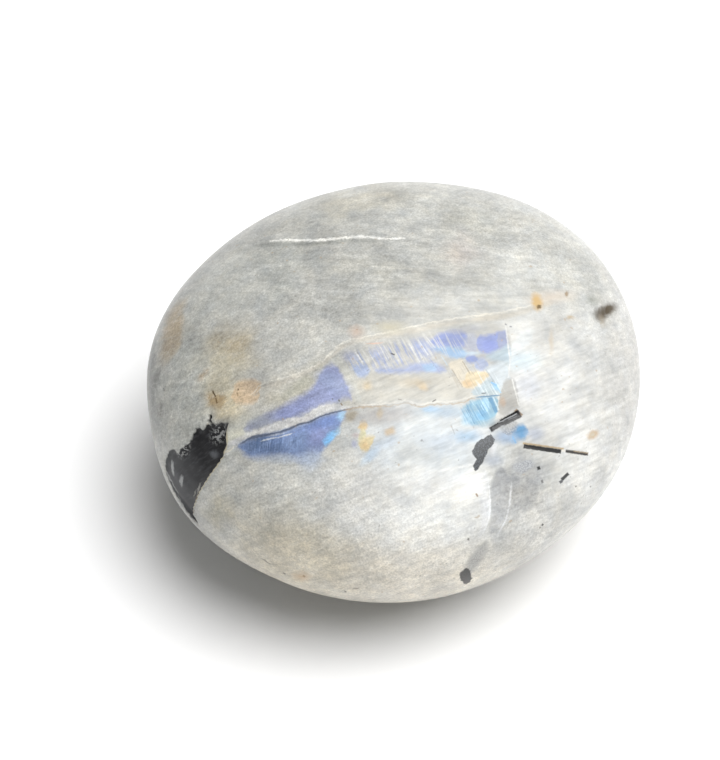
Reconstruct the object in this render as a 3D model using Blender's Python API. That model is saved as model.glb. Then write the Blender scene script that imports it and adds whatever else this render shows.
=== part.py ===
"""A polished pebble of rainbow moonstone with black tourmaline grown in it, as one closed solid.

Metres, +Z up. The pebble rests on a small flat spot whose middle is the origin, and the side
that shows the blue sheen faces -Y and up. Directions on the stone are given from its middle,
which is at girth height: azimuth turns from +X towards +Y, and elevation rises from the girth.
"""

import math

import bmesh
import bpy
from mathutils import Matrix, Vector, noise

MM = 0.001

# The pebble: an egg-like round with three different half sizes
HALF_LENGTH = 25.0 * MM
HALF_WIDTH = 23.4 * MM
CROWN = 15.0 * MM  # girth to the top
KEEL = 16.2 * MM  # girth to the lowest point, before the flat spot is ground
FLAT_SPOT_CUT = 0.7 * MM
GIRTH_HEIGHT = KEEL - FLAT_SPOT_CUT
MIDDLE = Vector((0, 0, GIRTH_HEIGHT))
PLAN_TURN = math.radians(30.0)  # from +X to the long way of the plan
CELLS = 28  # faces along each edge of the starting cube

# Broad swells and flats that the tumbling left: azimuth, elevation, reach and height
SWELLS = (
    (166, 11, 14.0 * MM, 1.1 * MM),
    (-150, -12, 14.0 * MM, 0.4 * MM),
    (-125, -20, 18.0 * MM, -0.2 * MM),
    (-45, -20, 16.0 * MM, -0.2 * MM),
    (35, 18, 18.0 * MM, 1.1 * MM),
    (65, 27, 16.0 * MM, 0.9 * MM),
    (105, 30, 18.0 * MM, 1.0 * MM),
    (140, 22, 14.0 * MM, 0.9 * MM),
)

# The pocket where black tourmaline broke out of the left side. Its outline lies in the plane
# that touches the stone there: across to the right and up, in mm from the pocket's middle.
POCKET_PLACE = (-147, 8)
POCKET_DEPTH = 0.7 * MM
POCKET_FLOOR_LUMPS = 0.12 * MM
POCKET_LUMP_SIZE = 2.5 * MM
POCKET_OUTLINE = (
    (0.8, 7.8), (1.1, 7.2), (1.8, 6.8), (2.3, 6.3), (2.7, 5.4), (2.7, 4.5), (2.5, 2.4),
    (2.2, 0.0), (1.8, -2.5), (2.3, -4.3), (1.0, -4.3), (-0.4, -3.7), (-2.0, -3.0),
    (-3.6, -2.2), (-4.0, -0.8), (-3.8, 0.9), (-2.3, 1.9), (-1.7, 4.3), (-1.2, 5.6),
    (-1.5, 7.0), (-0.6, 6.7), (0.0, 7.4),
)

# Straight grooves over tourmaline needles: the directions of both ends, width and depth
GROOVES = {
    "short_needle": ((-56.8, 32.4), (-43.2, 32.3), 1.0 * MM, 0.3 * MM),
    "long_needle_near": ((-48.7, 24.9), (-38.2, 17.0), 0.8 * MM, 0.25 * MM),
    "long_needle_far": ((-36.8, 15.8), (-32.7, 12.0), 0.7 * MM, 0.25 * MM),
}

# A small stained pit near the right end: its direction and half sizes
PIT_PLACE = (9.9, 20.8)
PIT_HALF_SIZES = (1.2 * MM, 0.7 * MM, 0.6 * MM)


def direction(azimuth, elevation):
    """The unit vector from the stone's middle that points that way, in degrees."""
    around, rise = math.radians(azimuth), math.radians(elevation)
    return Vector(
        (math.cos(rise) * math.cos(around), math.cos(rise) * math.sin(around), math.sin(rise))
    )


def on_round(way, inset=0.0):
    """The point of the plain round along a unit vector, with every half size less by inset."""
    turned = Matrix.Rotation(-PLAN_TURN, 3, "Z") @ way
    upright = CROWN if way.z > 0 else KEEL
    point = Vector(
        (
            turned.x * (HALF_LENGTH - inset),
            turned.y * (HALF_WIDTH - inset),
            turned.z * (upright - inset),
        )
    )
    return Matrix.Rotation(PLAN_TURN, 3, "Z") @ point


def outward(way):
    """The plain round's outward normal along a unit vector."""
    turned = Matrix.Rotation(-PLAN_TURN, 3, "Z") @ way
    upright = CROWN if way.z > 0 else KEEL
    normal = Vector((turned.x / HALF_LENGTH, turned.y / HALF_WIDTH, turned.z / upright))
    return (Matrix.Rotation(PLAN_TURN, 3, "Z") @ normal).normalized()


def on_stone(way, inset=0.0):
    """The point of the pebble's surface along a unit vector, with its swells and flats."""
    point = on_round(way, inset)
    moved = point.copy()
    for azimuth, elevation, reach, height in SWELLS:
        peak = direction(azimuth, elevation)
        near = max(0.0, 1.0 - (point - on_round(peak, inset)).length / reach)
        moved += outward(peak) * height * near * near * (3.0 - 2.0 * near)
    return moved + MIDDLE


def pebble_shape(inset=0.0):
    """A cube divided into a grid, with each of its points sent out to the pebble's surface."""
    shape = bmesh.new()
    bmesh.ops.create_cube(shape, size=2.0)
    bmesh.ops.subdivide_edges(shape, edges=shape.edges, cuts=CELLS - 1, use_grid_fill=True)
    for vert in shape.verts:
        even = Vector([math.tan(c * math.pi / 4) for c in vert.co])
        vert.co = on_stone(even.normalized(), inset)
    return shape


def add_object(name, shape):
    """Puts a finished shape in the scene as an object with its own mesh."""
    mesh = bpy.data.meshes.new(name)
    shape.to_mesh(mesh)
    shape.free()
    made = bpy.data.objects.new(name, mesh)
    bpy.context.scene.collection.objects.link(made)
    return made


def grind_flat_spot(shape):
    """Cuts the lowest cap off level at z = 0 and closes the cut with one face."""
    bmesh.ops.bisect_plane(
        shape,
        geom=shape.verts[:] + shape.edges[:] + shape.faces[:],
        plane_co=(0, 0, 0),
        plane_no=(0, 0, -1),
        clear_outer=True,
    )
    rim = [edge for edge in shape.edges if edge.is_boundary]
    bmesh.ops.contextual_create(shape, geom=rim)
    bmesh.ops.recalc_face_normals(shape, faces=shape.faces)


def surface_frame(place):
    """A matrix at a place on the surface: X across to the right, Y up the stone, Z outward."""
    way = direction(*place)
    normal = outward(way)
    up = (Vector((0, 0, 1)) - normal * normal.z).normalized()
    across = up.cross(normal)
    frame = Matrix((across, up, normal)).transposed().to_4x4()
    frame.translation = on_stone(way)
    return frame


def cut(solid, cutter):
    """Takes the cutter's shape out of the solid, and leaves the cutter as a guide."""
    cutter.hide_render = True
    cutter.display_type = "WIRE"
    boolean = solid.modifiers.new(cutter.name, "BOOLEAN")
    boolean.operation = "DIFFERENCE"
    boolean.object = cutter


def add_pocket_floor():
    """A lumpy copy of the pebble, smaller by the pocket's depth all round."""
    shape = pebble_shape(POCKET_DEPTH)
    for vert in shape.verts:
        lump = noise.noise(vert.co / POCKET_LUMP_SIZE) * POCKET_FLOOR_LUMPS
        vert.co += (vert.co - MIDDLE).normalized() * lump
    return add_object("pocket_floor", shape)


def add_pocket_cutter():
    """The pocket's outline as a prism, with the pebble below the pocket's floor left out of it."""
    below, above = -5.0 * MM, 3.0 * MM
    shape = bmesh.new()
    rim = [shape.verts.new((x * MM, y * MM, below)) for x, y in POCKET_OUTLINE]
    foot = shape.faces.new(rim)
    raised = bmesh.ops.extrude_face_region(shape, geom=[foot])["geom"]
    lifted = [item for item in raised if isinstance(item, bmesh.types.BMVert)]
    bmesh.ops.translate(shape, vec=(0, 0, above - below), verts=lifted)
    bmesh.ops.recalc_face_normals(shape, faces=shape.faces)
    shape.transform(surface_frame(POCKET_PLACE))
    cutter = add_object("pocket_cutter", shape)
    cut(cutter, add_pocket_floor())
    return cutter


def add_groove_cutter(name, start, end, width, depth):
    """A box along the straight line between two places on the surface, sunk by its depth."""
    height = 3.0 * MM
    first, last = on_stone(direction(*start)), on_stone(direction(*end))
    along = last - first
    side = ((first + last) / 2 - MIDDLE).cross(along).normalized()
    upward = along.cross(side).normalized()
    frame = Matrix((along.normalized(), side, upward)).transposed().to_4x4()
    frame.translation = (first + last) / 2 + upward * (height / 2 - depth)
    shape = bmesh.new()
    bmesh.ops.create_cube(shape, size=1.0)
    bmesh.ops.scale(shape, vec=(along.length, width, height), verts=shape.verts)
    shape.transform(frame)
    return add_object(name, shape)


def add_pit_cutter():
    """A small flattened ball half sunk in the surface."""
    shape = bmesh.new()
    bmesh.ops.create_icosphere(shape, subdivisions=2, radius=1.0)
    bmesh.ops.scale(shape, vec=PIT_HALF_SIZES, verts=shape.verts)
    shape.transform(surface_frame(PIT_PLACE))
    return add_object("pit_cutter", shape)


def moonstone_material():
    """Polished milky feldspar: a warm pale grey with a soft gloss."""
    material = bpy.data.materials.new("polished_moonstone")
    material.use_nodes = True
    shader = material.node_tree.nodes["Principled BSDF"]
    shader.inputs["Base Color"].default_value = (0.62, 0.61, 0.58, 1.0)
    shader.inputs["Roughness"].default_value = 0.3
    shader.inputs["Metallic"].default_value = 0.0
    return material


def clear_scene():
    for obj in list(bpy.data.objects):
        bpy.data.objects.remove(obj)


def main():
    clear_scene()
    shape = pebble_shape()
    grind_flat_spot(shape)
    stone = add_object("moonstone", shape)
    stone.data.materials.append(moonstone_material())
    cut(stone, add_pocket_cutter())
    for name, (start, end, width, depth) in GROOVES.items():
        cut(stone, add_groove_cutter(name, start, end, width, depth))
    cut(stone, add_pit_cutter())
    stone.data.shade_smooth()
    stone.data.set_sharp_from_angle(angle=math.radians(30))


main()
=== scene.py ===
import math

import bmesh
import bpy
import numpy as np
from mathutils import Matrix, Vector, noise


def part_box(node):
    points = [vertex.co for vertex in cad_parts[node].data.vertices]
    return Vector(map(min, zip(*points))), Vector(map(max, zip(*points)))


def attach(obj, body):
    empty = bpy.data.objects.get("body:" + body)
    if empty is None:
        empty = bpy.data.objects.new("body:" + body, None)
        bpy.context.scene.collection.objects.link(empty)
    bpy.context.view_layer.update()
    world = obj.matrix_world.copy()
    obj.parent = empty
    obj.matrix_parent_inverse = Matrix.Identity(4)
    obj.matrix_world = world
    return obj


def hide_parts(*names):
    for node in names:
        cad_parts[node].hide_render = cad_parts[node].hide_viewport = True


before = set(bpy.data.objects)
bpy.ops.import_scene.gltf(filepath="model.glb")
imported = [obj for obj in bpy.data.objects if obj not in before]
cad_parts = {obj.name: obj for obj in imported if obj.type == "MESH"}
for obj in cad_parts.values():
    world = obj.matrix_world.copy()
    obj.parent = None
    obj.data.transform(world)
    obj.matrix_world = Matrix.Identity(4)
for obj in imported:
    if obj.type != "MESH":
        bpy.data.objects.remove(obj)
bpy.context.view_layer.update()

# %% [markdown]
# # A polished pebble of rainbow moonstone
# The object is one stone: milky feldspar that was tumbled to a satin polish, with black tourmaline
# grown in it and a blue sheen under the surface. The frame gives its real size in metres. This lesson
# sets up the view and the light first, then shapes the pebble from a ball, then cuts its relief, and
# at last builds the one material that carries all its veins, sheen and inclusions.

MM = 0.001
NODE = "moonstone"
low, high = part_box(NODE)
print("stone from the frame, mm:", [round((b - a) / MM, 2) for a, b in zip(low, high)])

# %% [markdown]
# ## The view
# The stone is seen from the front and from about 50 degrees above, with a long lens, so it looks
# almost as it would in a drawing without perspective. The camera looks along one line at the middle
# of the girth, and a small lens shift puts the stone a little below the middle of the picture.

# %% Camera
GIRTH_HEIGHT = 15.5 * MM
MIDDLE = Vector((0, 0, GIRTH_HEIGHT))
VIEW_RISE = math.radians(50)
VIEW_DISTANCE = 420 * MM
VIEW_FOCAL = 4148  # pixels
FRAME_WIDTH, FRAME_HEIGHT = 720, 760  # pixels
VIEW_CENTRE = (396.3, 391.9)  # pixels, where the middle of the stone falls
TOWARDS_VIEW = Vector((0, -math.cos(VIEW_RISE), math.sin(VIEW_RISE)))

lens = bpy.data.cameras.new("view_camera")
lens.sensor_width = 36
lens.lens = VIEW_FOCAL * lens.sensor_width / FRAME_HEIGHT
lens.shift_x = (FRAME_WIDTH / 2 - VIEW_CENTRE[0]) / FRAME_HEIGHT
lens.shift_y = (VIEW_CENTRE[1] - FRAME_HEIGHT / 2) / FRAME_HEIGHT
lens.clip_start = 0.01
camera = bpy.data.objects.new("view_camera", lens)
camera.location = MIDDLE + TOWARDS_VIEW * VIEW_DISTANCE
camera.rotation_euler = TOWARDS_VIEW.to_track_quat("Z", "Y").to_euler()
bpy.context.scene.collection.objects.link(camera)
bpy.context.scene.camera = camera
print("lens, mm:", round(lens.lens, 1))

# %% [markdown]
# ## Colours and nodes
# Colours are picked as a screen shows them, as hex values, but light adds up in linear numbers, so
# one function turns the first into the second. One more function adds a node, and every material
# below is built with it.

# %% Two helpers for materials
def linear(hex_colour):
    """The linear red, green, blue and alpha of an sRGB hex colour."""
    parts = [int(hex_colour[i:i + 2], 16) / 255 for i in (1, 3, 5)]
    return [p / 12.92 if p <= 0.04045 else ((p + 0.055) / 1.055) ** 2.4 for p in parts] + [1.0]


def add_node(tree, kind, inputs=None, out=0, **settings):
    """Adds a node, sets or links its inputs, and returns one of its outputs."""
    made = tree.nodes.new(kind)
    for name, value in settings.items():
        setattr(made, name, value)
    for key, value in (inputs or {}).items():
        if isinstance(value, bpy.types.NodeSocket):
            tree.links.new(value, made.inputs[key])
        else:
            made.inputs[key].default_value = value
    return made.outputs[out]


# %% [markdown]
# ## Floor and light
# The ground is a white sweep that burns out to pure white, as in a product picture. The main light
# is a large soft box high on the right. It leaves the front left of the stone in a soft shade and
# throws a short, soft shadow that way. A weaker wide box at the front and a dim white sky fill in.

# %% White floor
FLOOR_SIZE = 6.0
bpy.ops.object.select_all(action="DESELECT")
bpy.ops.mesh.primitive_plane_add(size=FLOOR_SIZE, location=(0, 0, 0))
floor = bpy.context.object
floor.name = "white_sweep"
paper = bpy.data.materials.new("matt_white_paper")
paper.use_nodes = True
paper_shader = paper.node_tree.nodes["Principled BSDF"]
paper_shader.inputs["Base Color"].default_value = linear("#fafafa")
paper_shader.inputs["Roughness"].default_value = 0.9
paper_shader.inputs["Specular IOR Level"].default_value = 0.1
floor.data.materials.append(paper)

# %% Soft boxes and sky
SOFT_BOXES = {  # azimuth, elevation, distance in m, size in m, power in W
    "right_box": (-6, 69, 0.9, 1.0, 14.8),
    "front_fill_box": (-75, 40, 1.4, 1.2, 0.5),
}


def direction(azimuth, elevation):
    """The unit vector that points that way, in degrees from +X and from level."""
    around, rise = math.radians(azimuth), math.radians(elevation)
    flat = math.cos(rise)
    return Vector((flat * math.cos(around), flat * math.sin(around), math.sin(rise)))


for box_name, (azimuth, elevation, distance, size, power) in SOFT_BOXES.items():
    light = bpy.data.lights.new(box_name, "AREA")
    light.shape = "DISK"
    light.size = size
    light.energy = power
    lamp = bpy.data.objects.new(box_name, light)
    lamp.location = MIDDLE + direction(azimuth, elevation) * distance
    lamp.rotation_euler = direction(azimuth, elevation).to_track_quat("Z", "Y").to_euler()
    bpy.context.scene.collection.objects.link(lamp)

sky = bpy.data.worlds.new("studio_sky")
sky.use_nodes = True
sky.node_tree.nodes["Background"].inputs["Color"].default_value = linear("#ffffff")
sky.node_tree.nodes["Background"].inputs["Strength"].default_value = 0.17
bpy.context.scene.world = sky
bpy.context.scene.view_settings.view_transform = "Standard"

# %% [markdown]
# ## The pebble's body
# A tumbled pebble is close to an egg shape with three different half sizes, and with a few broad
# swells and flats. It starts as a ball of even triangles. The places that get fine relief are
# divided further while it is still a ball, so that a cast to a sphere can put the new points back on
# the round. Then it is pulled to its half sizes, like dough, and turned.

# %% A ball with finer skin where the relief will be
HALF_LENGTH = 25.0 * MM
HALF_WIDTH = 23.4 * MM
CROWN = high.z - GIRTH_HEIGHT  # from the girth to the top
FLAT_SPOT_CUT = 0.7 * MM
KEEL = GIRTH_HEIGHT + FLAT_SPOT_CUT  # from the girth to the lowest point before the flat spot
PLAN_TURN = math.radians(30)  # from +X to the long way of the plan
FINE_ZONES = (  # azimuth, elevation and reach on the ball, in degrees
    (-147, 10, 21),
    (-150, -6, 12),
    (-50, 33, 10),
    (-41, 20, 11),
    (10, 21, 7),
)
FINE_CUTS = 3
SHEEN_ZONE = (-93, 42, 33)  # gets half that, for the colours that are painted on its points


def points_of(mesh):
    """All the mesh's points as an array with one row for each."""
    flat = np.empty(len(mesh.vertices) * 3)
    mesh.vertices.foreach_get("co", flat)
    return flat.reshape(-1, 3)


def edit_points(mesh, chosen):
    """Selects only the chosen points and goes into edit mode."""
    for part in (mesh.polygons, mesh.edges):
        part.foreach_set("select", np.zeros(len(part), dtype=bool))
    mesh.vertices.foreach_set("select", chosen)
    bpy.ops.object.mode_set(mode="EDIT")
    bpy.ops.mesh.select_mode(type="VERT")


def apply_modifier(kind, **settings):
    """Adds a modifier to the stone and applies it."""
    bpy.ops.object.modifier_add(type=kind)
    modifier = stone.modifiers[-1]
    for name, value in settings.items():
        setattr(modifier, name, value)
    bpy.ops.object.modifier_apply(modifier=modifier.name)


bpy.ops.object.select_all(action="DESELECT")
bpy.ops.mesh.primitive_ico_sphere_add(subdivisions=7, radius=1.0, location=(0, 0, 0))
stone = bpy.context.object
stone.name = "moonstone_pebble"
skin = stone.data
ball = points_of(skin)
in_zone = np.zeros(len(ball), dtype=bool)
for azimuth, elevation, reach in FINE_ZONES:
    in_zone |= ball @ np.array(direction(azimuth, elevation)) > math.cos(math.radians(reach))
edit_points(skin, in_zone)
bpy.ops.mesh.subdivide(number_cuts=FINE_CUTS, ngon=False)
bpy.ops.object.mode_set(mode="OBJECT")
azimuth, elevation, reach = SHEEN_ZONE
ball = points_of(skin)
in_sheen = ball @ np.array(direction(azimuth, elevation)) > math.cos(math.radians(reach))
for azimuth, elevation, reach in FINE_ZONES:
    in_sheen &= ball @ np.array(direction(azimuth, elevation)) < math.cos(math.radians(reach + 1))
edit_points(skin, in_sheen)
bpy.ops.mesh.subdivide(number_cuts=1, ngon=False)
bpy.ops.object.mode_set(mode="OBJECT")
apply_modifier("CAST", cast_type="SPHERE", factor=1.0, use_radius_as_size=False, size=1.0)
print("triangles in the skin:", len(skin.polygons))

# %% The half sizes and the turn
bpy.ops.object.mode_set(mode="EDIT")
bpy.ops.mesh.select_all(action="SELECT")
bpy.ops.transform.resize(value=(HALF_LENGTH, HALF_WIDTH, CROWN), center_override=(0, 0, 0))
bpy.ops.object.mode_set(mode="OBJECT")
edit_points(skin, points_of(skin)[:, 2] < 0)
bpy.ops.transform.resize(value=(1, 1, KEEL / CROWN), center_override=(0, 0, 0))
bpy.ops.mesh.select_all(action="SELECT")
# With no window the turn goes the other way round, so it is given as a negative angle.
bpy.ops.transform.rotate(value=-PLAN_TURN, orient_axis="Z", center_override=(0, 0, 0))
bpy.ops.object.mode_set(mode="OBJECT")
print("round body, mm:", np.round(np.ptp(points_of(skin), axis=0) / MM, 2))

# %% [markdown]
# The swells and flats are pulled out one by one with proportional editing: one point moves, and its
# neighbours follow less and less up to the reach. The last move presses the lowest cap level, which
# makes the small flat spot that the pebble rests on, with its middle at the origin.

# %% Swells, flats and the flat spot
SWELLS = (  # azimuth, elevation, reach and height
    (166, 11, 14.0 * MM, 1.1 * MM),
    (-150, -12, 14.0 * MM, 0.4 * MM),
    (-125, -20, 18.0 * MM, -0.2 * MM),
    (-45, -20, 16.0 * MM, -0.2 * MM),
    (35, 18, 18.0 * MM, 1.1 * MM),
    (65, 27, 16.0 * MM, 0.9 * MM),
    (105, 30, 18.0 * MM, 1.0 * MM),
    (140, 22, 14.0 * MM, 0.9 * MM),
)


def on_round(way):
    """The point of the plain round along a unit vector from the stone's middle."""
    turned = Matrix.Rotation(-PLAN_TURN, 3, "Z") @ way
    upright = CROWN if way.z > 0 else KEEL
    point = Vector((turned.x * HALF_LENGTH, turned.y * HALF_WIDTH, turned.z * upright))
    return Matrix.Rotation(PLAN_TURN, 3, "Z") @ point


def outward(way):
    """The plain round's outward normal along a unit vector."""
    turned = Matrix.Rotation(-PLAN_TURN, 3, "Z") @ way
    upright = CROWN if way.z > 0 else KEEL
    normal = Vector((turned.x / HALF_LENGTH, turned.y / HALF_WIDTH, turned.z / upright))
    return (Matrix.Rotation(PLAN_TURN, 3, "Z") @ normal).normalized()


def nearest(points, place):
    """The number of the point that is nearest to a place."""
    return int(np.argmin(np.linalg.norm(points - np.array(place), axis=1)))


for azimuth, elevation, reach, height in SWELLS:
    way = direction(azimuth, elevation)
    chosen = np.zeros(len(skin.vertices), dtype=bool)
    chosen[nearest(points_of(skin), on_round(way))] = True
    edit_points(skin, chosen)
    bpy.ops.transform.translate(
        value=outward(way) * height,
        use_proportional_edit=True,
        proportional_edit_falloff="SMOOTH",
        proportional_size=reach,
        use_proportional_connected=False,
        use_proportional_projected=False,
    )
    bpy.ops.object.mode_set(mode="OBJECT")

bpy.ops.object.mode_set(mode="EDIT")
bpy.ops.mesh.select_all(action="SELECT")
bpy.ops.transform.translate(value=MIDDLE)
bpy.ops.object.mode_set(mode="OBJECT")
edit_points(skin, points_of(skin)[:, 2] < 0)
bpy.ops.transform.resize(value=(1, 1, 0), center_override=(0, 0, 0))
bpy.ops.object.mode_set(mode="OBJECT")
print("shaped body, mm:", np.round(np.ptp(points_of(skin), axis=0) / MM, 2))
bpy.ops.object.shade_smooth()

# %% [markdown]
# ## Relief
# Where black tourmaline broke out of the left side there is a shallow pocket with a ragged edge and
# a crumbly floor. Two black needles and a stained spot on the right lie a little lower than the
# polish. Each of these gets a vertex group, which is the same as painting weights by hand, and then
# a Displace modifier pushes the painted points in or out. The pocket's edge is an outline in the
# plane that touches the stone there, so its sizes are true ones.

# %% Places on the stone
POCKET_PLACE = (-147, 8)  # azimuth and elevation from the middle
POCKET_EDGE = (  # across to the right and up from the pocket's middle, in mm
    (0.8, 7.8), (1.1, 7.2), (1.8, 6.8), (2.3, 6.3), (2.7, 5.4), (2.7, 4.5), (2.5, 2.4),
    (2.2, 0.0), (1.8, -2.5), (2.3, -4.3), (1.0, -4.3), (-0.4, -3.7), (-2.0, -3.0),
    (-3.6, -2.2), (-4.0, -0.8), (-3.8, 0.9), (-3.1, 1.7), (-2.3, 1.9), (-2.0, 3.2),
    (-1.7, 4.3), (-2.1, 5.2), (-1.2, 5.6), (-1.1, 6.2), (-1.7, 7.0), (-0.6, 6.7), (0.0, 7.4),
)
RIGHT_OF_VIEW = Vector((1, 0, 0))
UP_THE_VIEW = TOWARDS_VIEW.cross(RIGHT_OF_VIEW)
# The half of the stone that the view sees lies above this slanting plane through the middle.
SEEN_SIDE = Vector((0, -0.31, 0.95))


def surface_frame(place):
    """The middle of a place on the stone, and unit vectors across, up and outward there."""
    way = direction(*place)
    outside = outward(way)
    upward = (Vector((0, 0, 1)) - outside * outside.z).normalized()
    return on_round(way) + MIDDLE, upward.cross(outside), upward, outside


def seen_at(points, *ways, middle=MIDDLE):
    """How far points lie along unit vectors from a middle, in mm, one array for each way."""
    from_middle = (points - np.array(middle)) / MM
    return [from_middle @ np.array(way) for way in ways]


def inside(x, y, outline):
    """The distance to a closed outline, positive inside it and negative outside."""
    nearest_edge = np.full(len(x), np.inf)
    within = np.zeros(len(x), dtype=bool)
    for (ax, ay), (bx, by) in zip(outline, outline[1:] + outline[:1]):
        along = ((x - ax) * (bx - ax) + (y - ay) * (by - ay)) / ((bx - ax) ** 2 + (by - ay) ** 2)
        along = np.clip(along, 0, 1)
        gap = np.hypot(x - ax - along * (bx - ax), y - ay - along * (by - ay))
        nearest_edge = np.minimum(nearest_edge, gap)
        if ay != by:
            crosses = (ay > y) != (by > y)
            within ^= crosses & (x < ax + (y - ay) * (bx - ax) / (by - ay))
    return np.where(within, nearest_edge, -nearest_edge)


def rise(values, start, end):
    """A smooth step from 0 at start to 1 at end."""
    part = np.clip((values - start) / (end - start), 0, 1)
    return part * part * (3 - 2 * part)


def crumble(points, size, chosen):
    """Smooth noise of about -1 to 1 with lumps of that size in mm, on the chosen points only."""
    lumps = np.zeros(len(points))
    for i in np.flatnonzero(chosen):
        lumps[i] = noise.fractal(Vector(points[i]) / (size * MM), 0.6, 2.0, 3)
    return lumps


def push(name, weights, depth, **texture):
    """Paints a vertex group with weights and moves its points outward by depth, in mm."""
    group = stone.vertex_groups.new(name=name)
    for i in np.flatnonzero(weights > 0.001):
        group.add([int(i)], float(weights[i]), "REPLACE")
    pattern = None
    if texture:
        pattern = bpy.data.textures.new(name, "CLOUDS")
        for key, value in texture.items():
            setattr(pattern, key, value)
    apply_modifier(
        "DISPLACE",
        vertex_group=name,
        strength=depth * MM,
        mid_level=0.5 if texture else 0.0,
        texture=pattern,
        texture_coords="LOCAL",
    )


# %% Tumbling leaves the polish a little uneven
POLISH_WAVE = 9 * MM
off_the_foot = rise(points_of(skin)[:, 2] / MM, 0.0, 1.5)  # the flat spot stays flat
push("polish", off_the_foot, 0.12, noise_scale=POLISH_WAVE, noise_depth=1)

# %% The pocket of broken tourmaline
POCKET_DEPTH = 0.7  # mm at its right wall, less towards the left
body = points_of(skin)
pocket_middle, pocket_across, pocket_up, pocket_out = surface_frame(POCKET_PLACE)
across, up, out = seen_at(
    body, pocket_across, pocket_up, pocket_out, middle=pocket_middle
)
near_pocket = (np.abs(across) < 6) & (np.abs(up - 1.5) < 9) & (out > -5)
ragged_edge = inside(across, up, POCKET_EDGE)
ragged_edge = np.where(near_pocket, ragged_edge, -5.0)
crumbly_side = rise(-across, -1.5, 1.0) * rise(up, 0.5, 3.0)
edge_lumps = crumble(body, 0.45, near_pocket & (np.abs(ragged_edge) < 1.5))
ragged_edge += edge_lumps * (0.05 + 0.3 * crumbly_side)
deeper_right = 0.3 + 0.7 * rise(across + 0.25 * up, -3.0, 2.5)
push("pocket", rise(ragged_edge, -0.05, 0.35) * deeper_right, -POCKET_DEPTH)
push("pocket_floor", rise(ragged_edge, 0.1, 0.6), 0.22, noise_scale=0.9 * MM, noise_depth=3)
right_wall = rise(across, 0.5, 1.6)
lip = rise(ragged_edge, -0.55, -0.15) * (1 - rise(ragged_edge, -0.1, 0.02)) * right_wall
push("pocket_lip", lip * (up > -3), 0.14)
broken_rim = rise(ragged_edge, -0.7, -0.1) * (1 - rise(ragged_edge, 0.3, 0.6)) * crumbly_side
push("crumbly_rim", broken_rim, 0.4, noise_scale=0.35 * MM, noise_depth=2)
print("points in the pocket:", int((ragged_edge > 0).sum()))

# %% The needles and the stained pit
NEEDLES = (  # start and end on the show face in mm, and width
    ((9.2, -3.7), (12.1, -2.1), 0.72),
    ((12.4, -5.25), (16.2, -5.85), 0.42),
    ((16.6, -5.8), (18.9, -6.15), 0.32),
)
NEEDLE_DEPTH = 0.16
PIT = ((20.9, 8.0), (1.0, 0.6), 25)  # middle and half sizes in mm, and turn in degrees
PIT_DEPTH = 0.45
body = points_of(skin)
show_u, show_v, seen = seen_at(body, RIGHT_OF_VIEW, UP_THE_VIEW, SEEN_SIDE)


def beside(start, end):
    """How far along a straight line from start to end points lie, and how far beside it."""
    length = math.dist(start, end)
    way_u, way_v = (end[0] - start[0]) / length, (end[1] - start[1]) / length
    from_u, from_v = show_u - start[0], show_v - start[1]
    return from_u * way_u + from_v * way_v, from_v * way_u - from_u * way_v, length


for number, (start, end, width) in enumerate(NEEDLES):
    ahead, aside, length = beside(start, end)
    within = np.minimum(width / 2 - np.abs(aside), np.minimum(ahead, length - ahead))
    push(f"needle_{number}", rise(within, -0.05, 0.1) * (seen > 0), -NEEDLE_DEPTH)
    ridges = rise(within, 0.05, 0.2) * (0.5 + 0.5 * np.cos(aside * math.tau / 0.26))
    push(f"needle_ridges_{number}", ridges * (seen > 0), 0.06)

(pit_u, pit_v), (pit_long, pit_wide), pit_turn = PIT
turned = complex(math.cos(math.radians(pit_turn)), -math.sin(math.radians(pit_turn)))
flat = ((show_u - pit_u) + 1j * (show_v - pit_v)) * turned
in_pit = 1 - np.hypot(flat.real / pit_long, flat.imag / pit_wide)
in_pit += crumble(body, 0.5, (in_pit > -1) & (seen > 0)) * 0.35
push("stained_pit", rise(in_pit, -0.15, 0.45) * (seen > 0), -PIT_DEPTH)

edge_attribute = skin.attributes.new("pocket_edge", "FLOAT", "POINT")
edge_attribute.data.foreach_set("value", ragged_edge)
for group in list(stone.vertex_groups):
    stone.vertex_groups.remove(group)
print("triangles with relief:", len(skin.polygons))

# %% [markdown]
# ## The milky ground
# Feldspar is milky because it is full of tiny flaws, more here and fewer there. The ground is painted
# on the skin's points, as with a soft brush: a greyer upper left, a bright white belly, beige towards
# the bottom, and tan stains where iron has seeped in beside the pocket. Places on the show face are
# in mm, first across to the right, then up. The hidden side gets a few clouds of its own, with places
# as seen from behind.

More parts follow.
